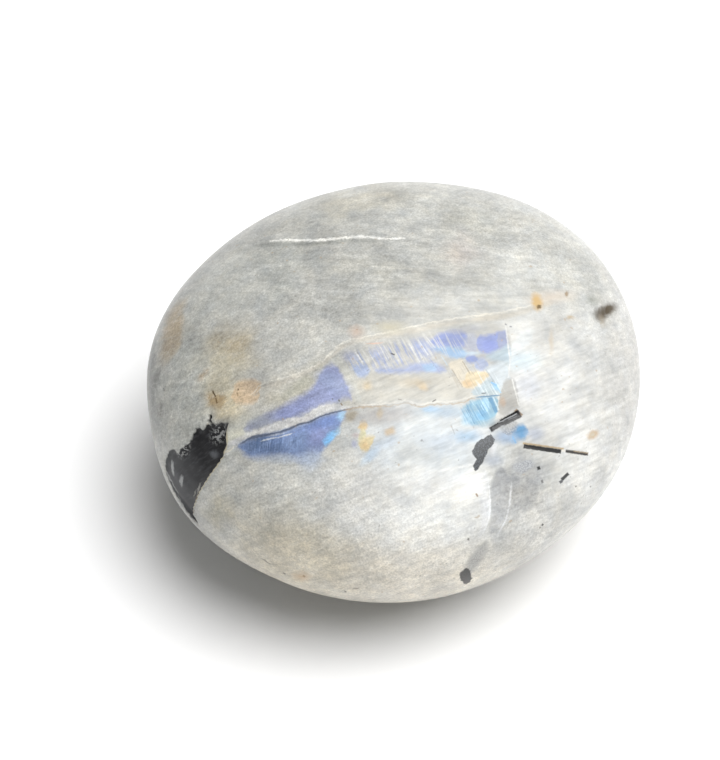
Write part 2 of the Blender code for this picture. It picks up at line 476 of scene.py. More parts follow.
# %% Broad zones of the ground
MILK = "#acaca8"
ZONES = {  # middle and half sizes in mm, turn, softness, colour and strength
    "upper_shade": ((-2, 12), (17, 7), 0, 0.6, "#a9a9a5", 0.9),
    "top_rim": ((0, 19.5), (14, 2.6), 0, 0.6, "#b2b2ad", 0.9),
    "upper_right": ((13, 14), (9, 6), -25, 0.6, "#b4b4b0", 0.9),
    "grey_top_right": ((8, 17), (3.2, 1.6), -10, 0.7, "#a3a39d", 0.6),
    "shade_centre": ((-3, 12), (3.2, 1.4), 0, 0.7, "#9d9d98", 0.6),
    "dark_upper_left": ((-12.0, 13.4), (4.2, 1.5), -6, 0.6, "#9fa19e", 0.75),
    "dark_middle_left": ((-12.2, 10.2), (2.0, 1.6), 30, 0.8, "#999b97", 0.7),
    "dark_patch_low": ((-6.5, 8.2), (2.6, 0.9), 12, 0.8, "#a4a4a0", 0.6),
    "dark_top": ((0.5, 17.2), (3.4, 1.4), 0, 0.8, "#a8a9a7", 0.7),
    "light_under_dark": ((-14.5, 8.8), (2.6, 1.6), 40, 0.7, "#b1b2af", 0.8),
    "beige_top": ((-3.5, 19.6), (4.0, 1.0), 6, 0.8, "#bab5a7", 0.7),
    "pink_top": ((6.5, 14.0), (1.6, 1.4), 0, 0.8, "#b9b0a9", 0.6),
    "grey_lens": ((3.2, 8.2), (4.6, 0.9), 5, 0.7, "#aeaeab", 0.7),
    "light_centre": ((0, 9.2), (3.0, 1.0), 0, 0.7, "#bdbdb9", 0.6),
    "left_face": ((-21, 0), (3.4, 8), 8, 0.5, "#acada8", 0.9),
    "left_shoulder": ((-17.5, 10), (4, 3), 40, 0.6, "#b1b2ae", 0.7),
    "lower_left": ((-13, -10), (8, 6), 0, 0.5, "#b8b8b4", 0.9),
    "low_left_rim": ((-15, -11.5), (4.5, 2.2), -35, 0.6, "#c0bfb8", 0.6),
    "belly": ((3.5, -11), (9, 6), 0, 0.5, "#d9d9d6", 0.95),
    "belly_bright": ((4.5, -8.9), (3.6, 1.5), 0, 0.6, "#d8d8d6", 0.8),
    "belly_shade": ((-4, -9.5), (3.2, 3.6), 0, 0.8, "#bbbab7", 0.6),
    "bottom_beige": ((-2, -19), (17, 4), 0, 0.6, "#d2ccc0", 0.85),
    "bottom_yellow": ((-10, -15.8), (6, 3.2), -20, 0.7, "#c0b8a5", 0.75),
    "yellow_low_left": ((-17.2, -11.5), (1.2, 1.2), 0, 0.8, "#b8b29e", 0.7),
    "right_bright": ((16.5, 2), (8, 6.5), 0, 0.5, "#bfbfbd", 0.95),
    "right_far": ((23.5, 1), (2.6, 9), 0, 0.6, "#b1b0ad", 0.9),
    "right_low": ((19, -7), (4, 5), 30, 0.6, "#cacac8", 0.8),
    "haze_below_sheen": ((3, -4.6), (7, 3), 0, 0.5, "#babfc2", 0.85),
    "haze_dark": ((3.0, -5.9), (2.2, 0.9), 0, 0.7, "#a5a7a6", 0.7),
    "haze_blue": ((4.8, -5.2), (1.6, 1.2), 0, 0.8, "#a6afb8", 0.7),
    "grey_beside_band": ((12.6, -9.3), (2.0, 3.4), 12, 0.6, "#98999a", 0.85),
    "grey_low_right": ((12, -12.6), (2.6, 3.4), 20, 0.7, "#90908e", 0.7),
    "low_right": ((15, -13.5), (4, 3.5), 30, 0.7, "#c4c3bf", 0.7),
    "tan_upper": ((-16.2, 4.8), (1.9, 2.2), -35, 0.8, "#aba28f", 0.9),
    "tan_upper_core": ((-16.0, 4.3), (0.7, 0.9), -35, 0.8, "#9c8e78", 0.8),
    "tan_middle": ((-17.0, 1.8), (2.2, 3.0), -10, 0.7, "#b3ad9b", 0.85),
    "tan_low": ((-16.4, -1.4), (1.9, 1.5), 10, 0.6, "#b4aa92", 0.85),
    "tan_spot": ((-19.4, 1.8), (0.5, 0.4), 0, 0.7, "#ab9880", 0.8),
    "rusty": ((-18.0, -0.7), (0.6, 0.9), 0, 0.7, "#a08c6c", 0.9),
    "left_stain": ((-22.5, 6.0), (0.8, 3.0), -15, 0.6, "#a69882", 0.9),
    # painted shade: a dark band along the left limb, where the side turns away from the light
    "left_limb_painted_shade": ((-25.0, 1.5), (1.2, 5.5), 8, 0.35, "#6f706b", 0.95),
    "cream_beside_vein": ((-11.0, 0.3), (4.5, 1.3), 26, 0.5, "#b6b2a7", 0.75),
    "olive_above_lilac": ((-9.0, 0.9), (3.0, 0.7), 36, 0.7, "#a6a598", 0.8),
    "cream_beside_pocket": ((-15.2, -4.2), (1.4, 0.7), 10, 0.5, "#b8b8ac", 0.8),
    "grey_beside_lilac": ((-15.0, -2.7), (1.6, 0.7), 15, 0.7, "#a1a199", 0.7),
}
FAR_ZONES = {
    "far_cloud": ((-7, 19), (9, 4), 8, 0.7, "#a2a3a1", 0.8),
    "far_white": ((9, 12), (9, 6), -10, 0.6, "#bfbfbc", 0.8),
    "far_cream": ((-12, 8), (7, 4), 15, 0.7, "#b8b3a6", 0.7),
    "far_tan": ((16, 17), (3, 2), -30, 0.8, "#aea48f", 0.8),
    "far_rust": ((15.2, 16.4), (0.8, 0.5), -20, 0.7, "#98835f", 0.8),
    "far_foot": ((0, 2), (16, 3), 0, 0.7, "#b9b5aa", 0.7),
}


def swayed(points, *sways):
    """How far noise pushes every point about, in mm, from the size of its lumps and its reach."""
    push = np.zeros((len(points), 3))
    for size, reach in sways:
        lumps = [noise.noise_vector(Vector(point) / (size * MM)) for point in points]
        push += reach * np.array(lumps)
    return push


def brushed(start, across, up, shapes):
    """Soft ovals of colour laid over each other on the skin's points, with their cover as alpha."""
    layers = np.tile(np.array(start, dtype=float), (len(across), 1))
    for (middle_x, middle_y), half, turn, soft, tone, strength in shapes.values():
        cos, sin = math.cos(math.radians(turn)), math.sin(math.radians(turn))
        ahead = ((across - middle_x) * cos + (up - middle_y) * sin) / half[0]
        aside = ((up - middle_y) * cos - (across - middle_x) * sin) / half[1]
        mask = strength * rise(1 - np.hypot(ahead, aside), -soft, soft)
        layers += (np.array(linear(tone)) - layers) * mask[:, None]
    return layers


def keep_colours(name, layers):
    """Stores colours on the skin's points, for the material to read."""
    layers[:, :3] /= np.maximum(layers[:, 3:], 0.001)
    painted = skin.attributes.new(name, "FLOAT_COLOR", "POINT")
    painted.data.foreach_set("color", layers.ravel())


body = points_of(skin)
show_u, show_v, seen = seen_at(body, RIGHT_OF_VIEW, UP_THE_VIEW, SEEN_SIDE)
far_x, far_z = -body[:, 0] / MM, body[:, 2] / MM
cloud_sway = swayed(body, (2.2, 1.0), (0.6, 0.3))
near = brushed(linear(MILK), show_u + cloud_sway[:, 0], show_v + cloud_sway[:, 1], ZONES)
far = brushed(linear(MILK), far_x + cloud_sway[:, 0], far_z + cloud_sway[:, 2], FAR_ZONES)
keep_colours("ground", far + (near - far) * rise(seen, -2.5, 0.3)[:, None])
print("zones of the ground:", len(ZONES) + len(FAR_ZONES))

# %% [markdown]
# A second layer of colours, with its own cover, holds the soft patches of sheen. They go over the
# straight-edged fields that the material draws later.

# %% Soft patches of sheen
SHEEN = {  # middle and half sizes in mm, turn, softness, colour and strength
    "lilac_core": ((-6.2, 0.9), (0.8, 1.7), 62, 0.7, "#8d97b5", 0.85),
    "lilac_low_core": ((-10.0, -1.75), (1.7, 0.45), 26, 0.7, "#868fb8", 0.8),
    "lilac_tip": ((-13.3, -2.9), (1.4, 0.5), 22, 0.7, "#8a8f98", 0.8),
    "deep_left": ((-12.6, -5.1), (2.6, 0.95), 6, 0.5, "#596b8b", 0.9),
    "deep_middle": ((-9.9, -4.7), (1.7, 1.2), 12, 0.6, "#7688aa", 0.85),
    "deep_streak": ((-8.4, -3.4), (2.8, 0.4), 22, 0.7, "#7889b2", 0.8),
    "deep_fade": ((-10.5, -6.5), (3.0, 0.4), 0, 0.8, "#9ba4b2", 0.7),
    "deep_tail": ((-8.2, -6.6), (1.2, 0.8), 40, 0.7, "#a8b1bf", 0.7),
    "lilac_in_deep": ((-7.6, -4.2), (0.8, 1.2), -30, 0.7, "#8991ba", 0.8),
    "blue_under_vein": ((-6.7, -2.9), (1.3, 0.5), 20, 0.7, "#7388ba", 0.8),
    "cyan_spot_top": ((-5.8, -3.9), (0.3, 0.5), -30, 0.6, "#8fb2cf", 0.8),
    "cyan_top": ((-5.3, -2.3), (0.26, 0.5), -20, 0.5, "#a6cde6", 0.9),
    "pale_tail": ((-2.5, -6.1), (0.4, 1.2), -42, 0.7, "#b0bfce", 0.85),
    "pale_tail_right": ((-0.7, -4.9), (1.0, 0.5), 20, 0.8, "#b0b9c2", 0.7),
    "grey_below_vein": ((-1.2, -2.3), (2.8, 0.8), 4, 0.6, "#939190", 0.85),
    "brown_below_vein": ((-4.4, -2.3), (0.6, 0.5), 20, 0.6, "#948a77", 0.8),
    "brown_stripe": ((-1.6, -2.0), (0.3, 0.6), 0, 0.6, "#a0937d", 0.7),
    "amber_lower_deep": ((-3.0, -5.2), (0.35, 0.3), 20, 0.8, "#c8ab80", 0.7),
    "amber_small": ((-0.6, -3.8), (0.55, 0.42), 20, 0.5, "#bca78a", 0.9),
    "lilac_dot": ((-4.1, -5.0), (0.25, 0.4), 0, 0.6, "#979bb2", 0.8),
    "pink_dot": ((-3.9, -4.2), (0.4, 0.2), 0, 0.7, "#b0a3a2", 0.7),
    "sky_left": ((3.4, -1.7), (0.9, 0.24), 0, 0.6, "#82a9cc", 0.9),
    "sky_left_haze": ((4.6, -1.9), (2.2, 0.5), 0, 0.7, "#9fb0bf", 0.75),
    "amber_mid_left": ((-2.8, 0.65), (0.4, 0.45), 0, 0.8, "#b7a88c", 0.8),
    "amber_mid": ((2.5, 0.6), (0.6, 0.3), -35, 0.6, "#cdb58f", 0.85),
    "amber_mid_wide": ((1.9, 0.9), (1.3, 0.45), 0, 0.8, "#b9ad97", 0.7),
    "lilac_left_high": ((-4.5, 3.4), (0.7, 0.5), -20, 0.7, "#9297ab", 0.8),
    "lilac_stripes_mid": ((-1.4, 3.6), (0.9, 0.7), -30, 0.7, "#979cae", 0.7),
    "blue_stripes_mid": ((2.6, 4.3), (1.1, 0.8), -10, 0.7, "#8b95b4", 0.8),
    "cyan_level": ((3.3, 2.4), (0.7, 0.4), 0, 0.5, "#8fabc8", 0.85),
    "lilac_corner_left": ((4.2, 4.8), (0.5, 0.3), 0, 0.6, "#7885bd", 0.8),
    "lilac_corner_right": ((9.0, 4.5), (0.7, 0.5), 0, 0.6, "#7784bc", 0.8),
    "grey_over_lilac": ((6.6, 6.1), (1.6, 0.3), 8, 0.7, "#9fa0a6", 0.7),
    "cyan_small": ((7.4, 3.75), (0.8, 0.2), 4, 0.7, "#b0c2cf", 0.7),
    "amber_orange": ((6.95, 0.8), (0.5, 0.35), 0, 0.8, "#c7a981", 0.8),
    "cyan_white_side": ((9.7, 0.5), (0.35, 0.4), 20, 0.5, "#8db4cf", 0.85),
    "sky_pale_left": ((6.9, -2.6), (0.6, 0.6), 0, 0.6, "#93b4c8", 0.8),
    "sky_core": ((8.2, -2.3), (0.6, 0.45), 0, 0.6, "#6ba3c6", 0.8),
    "sky_pale_low": ((8.8, -3.0), (0.8, 0.35), 10, 0.6, "#879ba4", 0.8),
    "sky_haze": ((6.9, -4.3), (1.1, 0.5), 0, 0.8, "#86a2ba", 0.8),
    "pink_core": ((10.4, -1.0), (0.3, 0.4), 15, 0.6, "#a99480", 0.8),
    "cyan_haze_right": ((12.4, 3.0), (1.6, 0.9), 5, 0.7, "#b3bfc4", 0.8),
    "lilac_haze_right": ((12.8, 0.6), (1.0, 1.4), 0, 0.8, "#b9bcc3", 0.7),
    "deep_sky_side": ((11.4, -4.6), (0.4, 0.4), -40, 0.6, "#7a9fbf", 0.85),
    "pale_lilac": ((13.5, -4.1), (0.8, 0.6), 0, 0.8, "#a9aeb9", 0.8),
    "grey_blue_below": ((10.8, -4.4), (1.1, 0.6), 0, 0.7, "#8196b0", 0.85),
    "blue_grey_low": ((9.4, -6.6), (0.9, 0.6), 0, 0.7, "#a0a6b0", 0.8),
    "white_by_blob": ((9.4, -5.6), (0.25, 0.6), -15, 0.6, "#cbccce", 0.85),
}
fine_sway = swayed(body, (0.5, 0.15))
patches = brushed((0, 0, 0, 0), show_u + fine_sway[:, 0], show_v + fine_sway[:, 1], SHEEN)
patches *= rise(seen, -2.5, 0.3)[:, None]
keep_colours("sheen", patches)
print("patches of sheen:", len(SHEEN))

# %% [markdown]
# ## The moonstone itself
# The stone is one material: milky labradorite, ground round and tumbled to a satin polish. All that
# the eye sees in it lies in flat layers inside the stone, so the pattern isn't wrapped round the
# pebble. It is laid through it from the side that shows the blue sheen, like slices of a loaf. For
# that, Object coordinates are turned and scaled once, so that every place on the show face can be
# given in mm: first across to the right, then up. Warped copies of those places make edges uneven.

# %% The material and its places
gem = bpy.data.materials.new("satin_polished_labradorite")
gem.use_nodes = True
tree = gem.node_tree
gem_shader = tree.nodes["Principled BSDF"]
tilt = math.pi / 2 - VIEW_RISE
on_object = add_node(tree, "ShaderNodeTexCoord", out="Object")
show_face = add_node(
    tree,
    "ShaderNodeMapping",
    {
        "Vector": on_object,
        "Rotation": (-tilt, 0, 0),
        "Scale": (1 / MM, 1 / MM, 1 / MM),
        "Location": (0, -MIDDLE.dot(UP_THE_VIEW) / MM, -MIDDLE.dot(TOWARDS_VIEW) / MM),
    },
)
ABOVE_LIMB = (0, SEEN_SIDE.dot(UP_THE_VIEW), SEEN_SIDE.dot(TOWARDS_VIEW))
above_limb = add_node(
    tree, "ShaderNodeVectorMath", {0: show_face, 1: ABOVE_LIMB}, out=1, operation="DOT_PRODUCT"
)


ACROSS, UP = (1, 0, 0), (0, 1, 0)


def calculated(operation, *values, within=None):
    """One step of arithmetic, in the stone's material or within a group."""
    given = dict(enumerate(values))
    return add_node(within or tree, "ShaderNodeMath", given, operation=operation)


def noise_at(place, scale, detail=2.0, rough=0.5, out=0):
    """Soft lumps, about scale of them to a mm, with finer ones on top by detail."""
    values = {"Vector": place, "Scale": scale, "Detail": detail, "Roughness": rough}
    return add_node(tree, "ShaderNodeTexNoise", values, out=out)


def along(place, way):
    """How far places lie along a direction."""
    return add_node(tree, "ShaderNodeVectorMath", {0: place, 1: way}, out=1, operation="DOT_PRODUCT")


def warped(place, *sways):
    """Places as (across, up, 1), pushed about by noises of some scale by up to half their reach."""
    sides = []
    for way in (ACROSS, UP):
        side = along(place, way)
        for scale, reach in sways:
            sway = along(noise_at(place, scale, out=1), [reach * w for w in way])
            side = calculated("ADD", calculated("SUBTRACT", side, reach / 2), sway)
        sides.append(side)
    return add_node(tree, "ShaderNodeCombineXYZ", {0: sides[0], 1: sides[1], 2: 1.0})


def sides_of(spots):
    """The places across and up of spots that are given as (across, up, 1)."""
    return along(spots, ACROSS), along(spots, UP)


def drawn_out(place, slope, along, across):
    """Places stretched for noise in streaks: their slope in degrees, length and width in mm."""
    return add_node(
        tree,
        "ShaderNodeMapping",
        {"Vector": place, "Rotation": (0, 0, math.radians(slope)), "Scale": (along, across, along)},
        vector_type="TEXTURE",
    )


plain = warped(show_face)
crisp = warped(show_face, (3.5, 0.14))
ragged = warped(show_face, (2.2, 0.4))
cloudy = warped(show_face, (0.45, 2.4), (1.9, 0.8))
crisp_sides, ragged_sides = sides_of(crisp), sides_of(ragged)
print("middle of the stone on the show face, mm:", round(MIDDLE.dot(UP_THE_VIEW) / MM, 2))

# %% [markdown]
# ## Brushes for painting the stone
# Four shapes do nearly all the drawing, and each is a node group, built once and then used like a
# stamp: a soft oval, a straight rod, a line that swells and thins, and the space between two edges.
# Each gives a mask from 0 to 1. All end alike, so one function fades an edge and closes the group.

# %% Node groups that make masks
def start_group(name, **inputs):
    """A new node group that gives a mask, and its inputs by name."""
    group = bpy.data.node_groups.new(name, "ShaderNodeTree")
    for title, kind in {**inputs, "Steep": "Float", "Strength": "Float"}.items():
        group.interface.new_socket(title, in_out="INPUT", socket_type="NodeSocket" + kind)
    group.interface.new_socket("Mask", in_out="OUTPUT", socket_type="NodeSocketFloat")
    return group, group.nodes.new("NodeGroupInput").outputs


def end_group(group, given, inside):
    """Ramps the mask from 0 to its strength as the value inside goes from minus to plus."""
    half = calculated("MULTIPLY", given["Strength"], 0.5, within=group)
    ramp = calculated("MULTIPLY_ADD", inside, given["Steep"], half, within=group)
    mask = add_node(group, "ShaderNodeClamp", {"Value": ramp, "Max": given["Strength"]})
    group.links.new(mask, group.nodes.new("NodeGroupOutput").inputs["Mask"])


def own_places(group, given):
    """How far places lie ahead and aside of a shape's middle, from (across, up, 1)."""
    return [
        add_node(
            group,
            "ShaderNodeVectorMath",
            {0: given["Spots"], 1: given[way]},
            out=1,
            operation="DOT_PRODUCT",
        )
        for way in ("Ahead", "Aside")
    ]


OWN_AXES = {"Spots": "Vector", "Ahead": "Vector", "Aside": "Vector"}
oval, given = start_group("soft_oval", **OWN_AXES)
ahead, aside = own_places(oval, given)
aside = calculated("MULTIPLY", aside, aside, within=oval)
squares = calculated("MULTIPLY_ADD", ahead, ahead, aside, within=oval)
reach = calculated("SQRT", squares, within=oval)
end_group(oval, given, calculated("SUBTRACT", 1.0, reach, within=oval))

rod, given = start_group("straight_rod", **OWN_AXES, Long="Float", Wide="Float")
ahead, aside = own_places(rod, given)
to_end = calculated("SUBTRACT", given["Long"], calculated("ABSOLUTE", ahead, within=rod), within=rod)
to_side = calculated("SUBTRACT", given["Wide"], calculated("ABSOLUTE", aside, within=rod), within=rod)
end_group(rod, given, calculated("MINIMUM", to_end, to_side, within=rod))

swelling_line, given = start_group("swelling_line", Aside="Float", Line="Float", Width="Float")
gap = calculated("SUBTRACT", given["Aside"], given["Line"], within=swelling_line)
gap = calculated("ABSOLUTE", gap, within=swelling_line)
inside = calculated("MULTIPLY_ADD", given["Width"], 0.5, calculated("MULTIPLY", gap, -1.0, within=swelling_line), within=swelling_line)
end_group(swelling_line, given, inside)

two_edges, given = start_group("two_edges", Aside="Float", Lower="Float", Upper="Float")
over_lower = calculated("SUBTRACT", given["Aside"], given["Lower"], within=two_edges)
under_upper = calculated("SUBTRACT", given["Upper"], given["Aside"], within=two_edges)
end_group(two_edges, given, calculated("MINIMUM", over_lower, under_upper, within=two_edges))
print("brushes:", [group.name for group in bpy.data.node_groups])

# %% [markdown]
# ## Working with the brushes
# These short functions set a brush's numbers. `paint` lays a colour over the colour below through a
# mask. Long lists of named shapes can then be painted by loops, with one line for each thing that is
# seen in the stone.

# %% Masks and paint
def stamp(group, soft, strength, **inputs):
    """Uses a brush and returns its mask."""
    inputs |= {"Steep": strength / soft, "Strength": strength}
    return add_node(tree, "ShaderNodeGroup", inputs, node_tree=group)


def own_axes(middle, way, long=1.0, wide=1.0):
    """What turns (across, up, 1) into parts of a shape's length ahead and of its width aside."""
    (middle_x, middle_y), (way_x, way_y) = middle, way
    ahead = (way_x / long, way_y / long, -(middle_x * way_x + middle_y * way_y) / long)
    aside = (-way_y / wide, way_x / wide, (middle_x * way_y - middle_y * way_x) / wide)
    return {"Ahead": ahead, "Aside": aside}


def patch(spots, middle, half, turn=0.0, soft=0.5, strength=1.0):
    """A soft oval with its middle and half sizes in mm, turned by degrees."""
    way = (math.cos(math.radians(turn)), math.sin(math.radians(turn)))
    return stamp(oval, 2 * soft, strength, Spots=spots, **own_axes(middle, way, *half))


def bar(spots, start, end, width, soft=0.12, strength=1.0):
    """A straight rod between two places in mm, with square ends."""
    length = math.dist(start, end)
    way = ((end[0] - start[0]) / length, (end[1] - start[1]) / length)
    middle = ((start[0] + end[0]) / 2, (start[1] + end[1]) / 2)
    sizes = {"Long": length / 2, "Wide": width / 2}
    return stamp(rod, soft, strength, Spots=spots, **own_axes(middle, way), **sizes)


def follow(value, points):
    """A number that follows a smooth curve through chosen pairs, level beyond both ends."""
    made = add_node(tree, "ShaderNodeFloatCurve", {"Value": value}).node
    made.mapping.use_clip = False
    made.mapping.extend = "HORIZONTAL"
    line = made.mapping.curves[0]
    line.points[0].location = points[0]
    line.points[1].location = points[1]
    for point in points[2:]:
        line.points.new(*point)
    made.mapping.update()
    return made.outputs[0]


def trace(sides, points, soft=0.12, strength=1.0, steep=False):
    """A line through points of (across, up, width) in mm, or of (up, across, width) if steep."""
    aside, ahead = sides if steep else reversed(sides)
    first, last = points[0], points[-1]
    closed = ((first[0] - 0.2, first[1], -2 * soft), *points, (last[0] + 0.2, last[1], -2 * soft))
    line = follow(ahead, [(point[0], point[1]) for point in closed])
    width = follow(ahead, [(point[0], point[2]) for point in closed])
    return stamp(swelling_line, soft, strength, Aside=aside, Line=line, Width=width)


def field(sides, points, soft=0.3, strength=1.0):
    """The space between two edges, through points of (across, lower edge, upper edge) in mm."""
    across, up = sides
    first, last = points[0], points[-1]
    closed = (
        (first[0] - 0.2, first[1] + soft, first[2] - soft),
        *points,
        (last[0] + 0.2, last[1] + soft, last[2] - soft),
    )
    lower = follow(across, [(point[0], point[1]) for point in closed])
    upper = follow(across, [(point[0], point[2]) for point in closed])
    return stamp(two_edges, soft, strength, Aside=up, Lower=lower, Upper=upper)


def shaped(value, low_end, high_end, strength=1.0):
    """Turns a value into a mask: 0 at the low end, the strength at the high end, even between."""
    steep = strength / (high_end - low_end)
    ramp = calculated("MULTIPLY_ADD", value, steep, -low_end * steep)
    return add_node(tree, "ShaderNodeClamp", {"Value": ramp, "Max": strength})


def masked(mask, other):
    """Where both masks are."""
    return calculated("MULTIPLY", mask, other)


def paint(below, mask, colour, **settings):
    """Lays a colour, or the colour of a node, over the one below where the mask is."""
    above = linear(colour) if isinstance(colour, str) else colour
    layers = {0: mask, 6: below, 7: above}
    return add_node(tree, "ShaderNodeMix", layers, out=2, data_type="RGBA", **settings)


# %% Ground and block of tan
ground = add_node(tree, "ShaderNodeAttribute", out="Color", attribute_name="ground")
off_veil = calculated("SUBTRACT", noise_at(drawn_out(show_face, 25, 2.4, 1.0), 1.0, 3.0, 0.55), 0.5)
veil = shaped(calculated("ABSOLUTE", off_veil), 0.035, 0.0, 0.2)
colour = paint(ground, veil, "#cdccc8")
colour = paint(colour, field(ragged_sides, (
    (-16.2, -0.5, -0.5), (-15.6, -1.1, 0.9), (-14.8, -1.2, 1.2), (-13.6, -0.9, 1.1), (-13.2, 0.7, 0.8),
), 0.5, 0.85), "#bba68c")

# %% [markdown]
# ## The sheen
# Layers thinner than a hair split the light inside the stone. On this face they send back lilac blue
# and sky blue, and amber where the layers are thicker. The sheen of a real stone comes and goes as it
# is turned. Here it is painted as it stands in this view, so that it also shows in other renderers.
# Twin layers, called lamellae, stand steeply in it and cut it into stripes and straight-edged fields.

